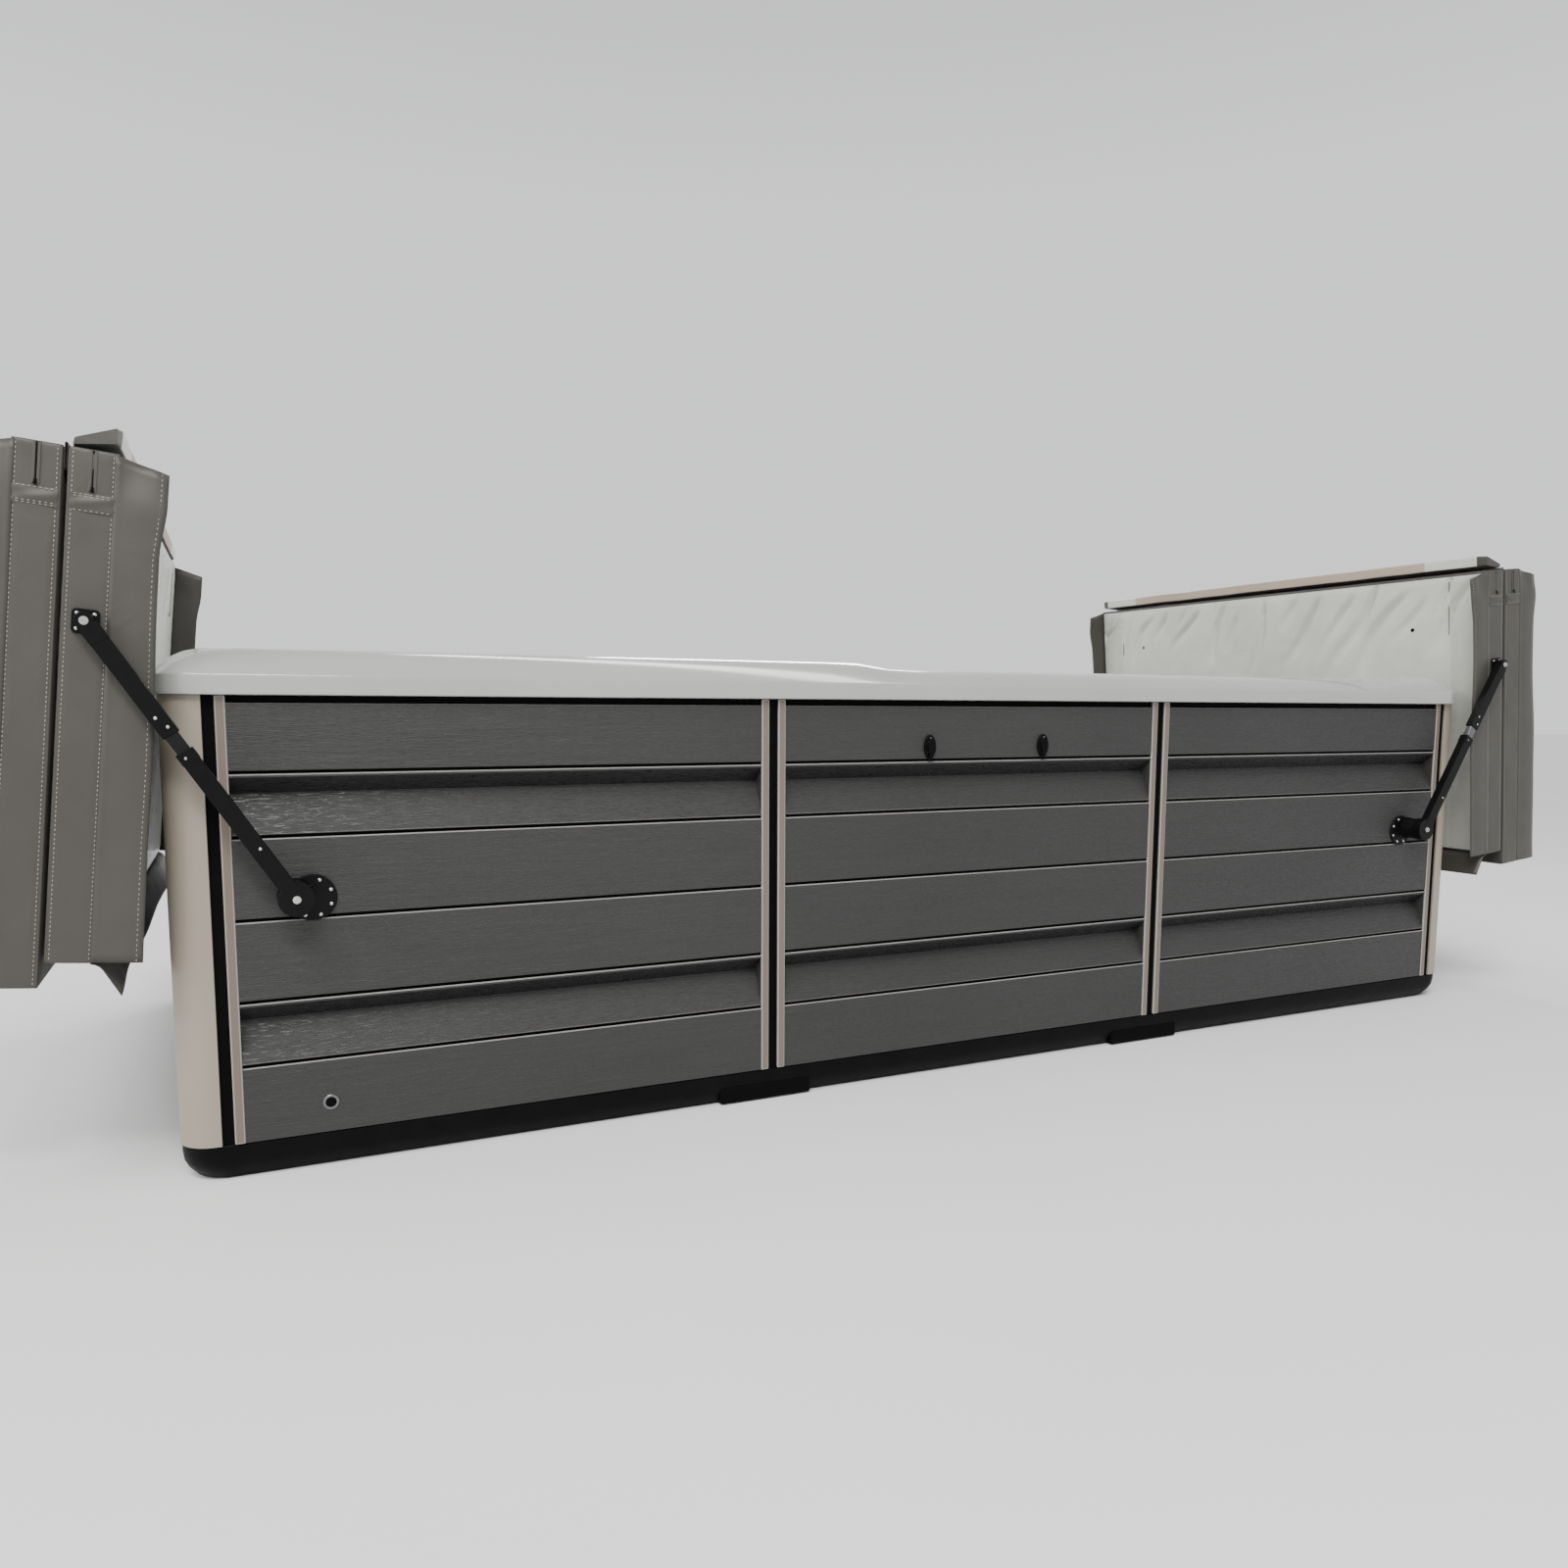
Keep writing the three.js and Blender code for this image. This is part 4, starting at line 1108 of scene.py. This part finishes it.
def cover_handles(panel):
    """On both sides: the sewn band across the side strip, and the short zip with its puller."""
    bands, stitches, lips, dark = bmesh.new(), bmesh.new(), bmesh.new(), bmesh.new()
    low, high = sorted((panel.from_hinge(ZIP_LENGTH), panel.from_hinge(ZIP_LENGTH + HANDLE_WIDTH)))
    for sy in (-1, 1):
        add_to(bands, handle_band(panel, sy, low, high))
        y = sy * (panel.half_width + 0.0042)
        for x in (low + 0.003, high - 0.003, high - 0.008):
            stitch_run(stitches, (x, y, 0.012), (x, y, panel.thickness - 0.012), (0, sy, 0))
        short_zip(panel, sy, lips, dark)
    panel.add("handles", bands, "vinyl", smooth=50)
    panel.add("handle_stitches", stitches, "thread", smooth=50)
    panel.add("zip_lips", lips, "vinyl", smooth=50)
    panel.add("zips", dark, "black_plastic", "black_plastic", 50)


def skirt_points(panel, part, s, t):
    """A point of the skirt: t along the run from 0 to 1, s from the sewn edge to the free edge."""
    half, depth = panel.half_width, SKIRT_DEPTH
    seed = panel.seed + {"front": 1, "rear": 2, "end": 3}[part]
    if part == "end":
        v = (t - 0.5) * 2 * (half - 0.003)
        fall = math.radians(66 + 12 * noise.noise(Vector((v * 2.1, seed, 0))))
        bend = 0.3
        turn = fall * min(s / bend, 1)
        beyond = depth * max(s - bend, 0)
        reach = depth * bend * math.sin(turn) / fall + beyond * math.cos(fall)
        drop = depth * bend * (1 - math.cos(turn)) / fall + beyond * math.sin(fall)
        return Vector((-0.0006 - drop, v, SEWN * (1 - s) - reach))
    sy = -1 if part == "front" else 1
    u = 0.004 + t * (panel.length - 0.008)
    to_hinge = abs(u - panel.hinge_u)
    corner = smoothstep(0.13, 0.0, to_hinge)
    wave = 0.0045 * noise.noise(Vector((u * 3.4, seed, 0))) * s
    flare = 0.004 * math.sin(math.pi * s * 0.9)
    crease = 0.017 * corner * math.sin(math.pi * min(1, s * 1.15)) - 0.012 * corner * s * s
    y = half + 0.0005 - 0.0027 * smoothstep(0, 0.15, s) + wave + flare * (1 - corner) - abs(crease) * 0.55
    hem = 0.006 * noise.noise(Vector((u * 1.7, seed + 4, 0))) * s
    low = 0.012 * smoothstep(0.1, 0.22, to_hinge) * smoothstep(0.75, 0.3, to_hinge)
    return Vector((u + panel.inward * 0.026 * corner * s, sy * y, SEWN * (1 - s) - depth * s + hem + low * s))


def thicken(obj, thickness):
    solid = obj.modifiers.new("thickness", "SOLIDIFY")
    solid.thickness = thickness
    solid.offset = 0


def skirt(panel):
    """The skirt as one sewn sheet: two long flaps, and one across the lifted half's outer end."""
    bm, hems = bmesh.new(), bmesh.new()
    outward = {"front": Vector((0, -1, 0)), "rear": Vector((0, 1, 0)), "end": Vector((-1, 0, 0))}
    if panel.half == "folded":
        del outward["end"]
    total, rows, hem = 0.0, 10, 0.87
    for part, out in outward.items():
        run = 2 * panel.half_width if part == "end" else panel.length
        total += run
        grid = []
        for t in (i / int(run / 0.022) for i in range(int(run / 0.022) + 1)):
            grid.append([bm.verts.new(skirt_points(panel, part, j / rows, t)) for j in range(rows + 1)])
        for a, b in zip(grid, grid[1:]):
            for j in range(rows):
                bm.faces.new((a[j], b[j], b[j + 1], a[j + 1]))
        steps = int(run / 0.07)
        line = [skirt_points(panel, part, hem, i / steps) + out * 0.0012 for i in range(steps + 1)]
        for start, end in zip(line, line[1:]):
            stitch_run(hems, start, end, out)
    bmesh.ops.recalc_face_normals(bm, faces=bm.faces)
    place(bm, panel.matrix)
    obj = make_object(f"{panel.name}_skirt_sheet", bm, "vinyl", SOFT_ANGLE)
    thicken(obj, SKIRT_THICKNESS)
    finish_piece(obj, panel.body, f"{panel.name}_skirt")
    panel.add("hem_stitches", hems, "thread", smooth=0)


def eyelets(panel):
    """Two drain eyelets in the underside."""
    whole = bmesh.new()
    rim = [(0.003, -0.002), (0.0035, 0.0028), (0.0055, 0.0034), (0.0078, 0.0022), (0.0085, 0)]
    rim.append((0.0085, -0.002))
    for sy in (-1, 1):
        part = turned(rim, 28, closed=True)
        add_to(part, turned([(0, 0.0006), (0.004, 0.0006), (0.004, -0.002), (0, -0.002)], 24))
        spot = (panel.from_hinge(EYELET_FROM_HINGE), sy * EYELET_FROM_MIDDLE, -0.0015)
        place(part, Matrix.Translation(spot) @ Matrix.Rotation(math.pi, 4, "X"))
        add_to(whole, part)
    panel.add("eyelets", whole, "black_plastic", "black_plastic", 30)


def hinge_seal(panel):
    """The soft wedge on the hinge edge, pale on the side that faces the water."""
    node = f"{panel.side}_hinge_seal"
    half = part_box(node)[1].y
    length, thick = panel.length, panel.thickness
    corners = [(length + 0.019, 0.002), (length + 0.061, 0.0)]
    corners += [(length + 0.021, thick - 0.002), (length + 0.004, thick - 0.004)]
    outline = [Vector(p) for p in softened(corners, 0.006, 4)]
    centre = sum(outline, Vector((0, 0))) / len(outline)
    rings, count = [], 120
    for t in (i / count for i in range(count + 1)):
        v = (t * 2 - 1) * half
        end = min(1, 0.86 + 0.14 * min(t, 1 - t) * count / 2)
        ring = []
        for p in outline:
            q = centre + (p - centre) * end
            lump = 0.0022 * noise.noise(Vector((v * 5, q.y * 20, panel.seed)))
            ring.append((q.x + lump, v, q.y))
        rings.append(ring)
    obj = make_object(f"{node}_strip", loft(rings), "vinyl seal vinyl_inside", 50)
    for face in obj.data.polygons:
        if face.normal.z < -0.6 and abs(face.center.y) < half - 0.03:
            face.material_index = 1 if abs(face.center.y) < half - 0.26 else 2
    panel.set_down(obj)
    finish_piece(obj, panel.body, node)
    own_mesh(obj)


def hinge_strip(panel):
    """The vinyl that joins the halves: sewn to both top faces, it turns round the gap between them."""
    length, half, top = panel.length, panel.half_width - 0.006, panel.thickness
    rise, beyond, columns = 0.0012, 0.004, 60
    bend = STRIP_GAP / 2 - rise
    path = [(length - STRIP_LEG + STRIP_LEG * k / 6, top + rise) for k in range(7)]
    for angle in (math.pi * k / 8 for k in range(9)):
        path.append((length + beyond + bend * math.sin(angle), top + STRIP_GAP / 2 - bend * math.cos(angle)))
    path += [(length - STRIP_LEG * k / 6, top + STRIP_GAP - rise) for k in range(7)]
    bm = bmesh.new()
    rows = []
    for v in ((i / columns * 2 - 1) * half for i in range(columns + 1)):
        rows.append([bm.verts.new((x, v, w)) for x, w in path])
    for a, b in zip(rows, rows[1:]):
        for j in range(len(path) - 1):
            bm.faces.new((a[j], a[j + 1], b[j + 1], b[j]))
    place(bm, panel.matrix)
    obj = make_object(f"{panel.side}_hinge_strip", bm, "vinyl", SOFT_ANGLE)
    thicken(obj, 0.001)
    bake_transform(obj)


# ---- stage ----
CAMERA_PLACE = (-2.1693, -4.1879, 1.19145)
HEADING, PITCH, ROLL = math.radians(25.2148), math.radians(6.1209), math.radians(0.2199)


def camera():
    """The photo's camera: heading from +Y, pitched down and rolled a little."""
    data = bpy.data.cameras.new("camera")
    obj = bpy.data.objects.new("camera", data)
    bpy.context.scene.collection.objects.link(obj)
    data.sensor_width = 36
    data.lens = 26.2
    data.shift_y = 0.03
    data.clip_end = 100
    flat = math.cos(PITCH)
    forward = Vector((math.sin(HEADING) * flat, math.cos(HEADING) * flat, -math.sin(PITCH)))
    level = Vector((math.cos(HEADING), -math.sin(HEADING), 0))
    right = level * math.cos(ROLL) + level.cross(forward) * math.sin(ROLL)
    obj.matrix_world = basis(right, right.cross(forward), -forward, CAMERA_PLACE)
    bpy.context.scene.camera = obj


def area_light(name, position, target, size, power, color=(1, 1, 1)):
    data = bpy.data.lights.new(name, "AREA")
    data.shape = "RECTANGLE"
    data.size, data.size_y = size
    data.energy = power
    data.color = color
    obj = bpy.data.objects.new(name, data)
    bpy.context.scene.collection.objects.link(obj)
    obj.location = position
    obj.rotation_euler = (Vector(target) - Vector(position)).to_track_quat("-Z", "Y").to_euler()


def soft_world():
    """Brighter towards the horizon than overhead."""
    world = bpy.data.worlds.new("world")
    world.use_nodes = True
    nodes, links = world.node_tree.nodes, world.node_tree.links
    direction, split = nodes.new("ShaderNodeTexCoord"), nodes.new("ShaderNodeSeparateXYZ")
    ramp = nodes.new("ShaderNodeValToRGB")
    horizon, overhead = ramp.color_ramp.elements
    horizon.position, horizon.color = 0.38, (1.05, 1.06, 1.07, 1)
    overhead.position, overhead.color = 0.8, (0.42, 0.42, 0.43, 1)
    links.new(direction.outputs["Generated"], split.inputs["Vector"])
    links.new(split.outputs["Z"], ramp.inputs["Fac"])
    links.new(ramp.outputs["Color"], nodes["Background"].inputs["Color"])
    bpy.context.scene.world = world


def stage():
    bm = bmesh.new()
    bmesh.ops.create_grid(bm, x_segments=8, y_segments=8, size=60)
    make_object("floor", bm, "floor", 0)
    soft_world()
    sun = bpy.data.objects.new("overhead", bpy.data.lights.new("overhead", "SUN"))
    sun.data.energy = 1.9
    sun.data.angle = math.radians(24)
    sun.rotation_euler = Vector((0.42, 0.5, -1)).to_track_quat("-Z", "Y").to_euler()
    bpy.context.scene.collection.objects.link(sun)
    area_light("key_front", (-2.6, -5.0, 5.0), (-0.2, -0.9, 0.7), (2.4, 0.6), 210, (1.0, 0.985, 0.96))
    area_light("key_rear", (2.4, 5.0, 5.2), (0.2, 0.9, 0.7), (3.2, 1.0), 260)
    area_light("ceiling_middle", (0.5, 0.3, 5.0), (0, 0, 1), (6, 0.5), 90)
    area_light("left_side", (-6.5, -2.5, 3.4), (-2.3, -0.8, 1.0), (1.6, 1.2), 110, (1.0, 0.97, 0.93))


# ---- build ----
camera()
stage()
dress_cad_nodes()
corner_posts()
cabinet_sides = [Side(name) for name in frame["nodes"] if "_panel_" in name]
boarded_panels(cabinet_sides)
trim_strips(cabinet_sides)
for make in (base_pan, spa_shell, bench, jets, latches, drain):
    make()
for side, mirror in SIDES:
    for place_name, sy in PLACES:
        lifter = Lifter(side, place_name, sy)
        for make in (bracket, lower_arm, upper_arm, bolts, cover_plate):
            make(lifter)
    for half in ("lifted", "folded"):
        panel = Panel(side, mirror, half)
        for make in (cover_skin, inner_parts, cover_seams, cover_handles, skirt, eyelets):
            make(panel)
        if half == "lifted":
            hinge_seal(panel)
            hinge_strip(panel)
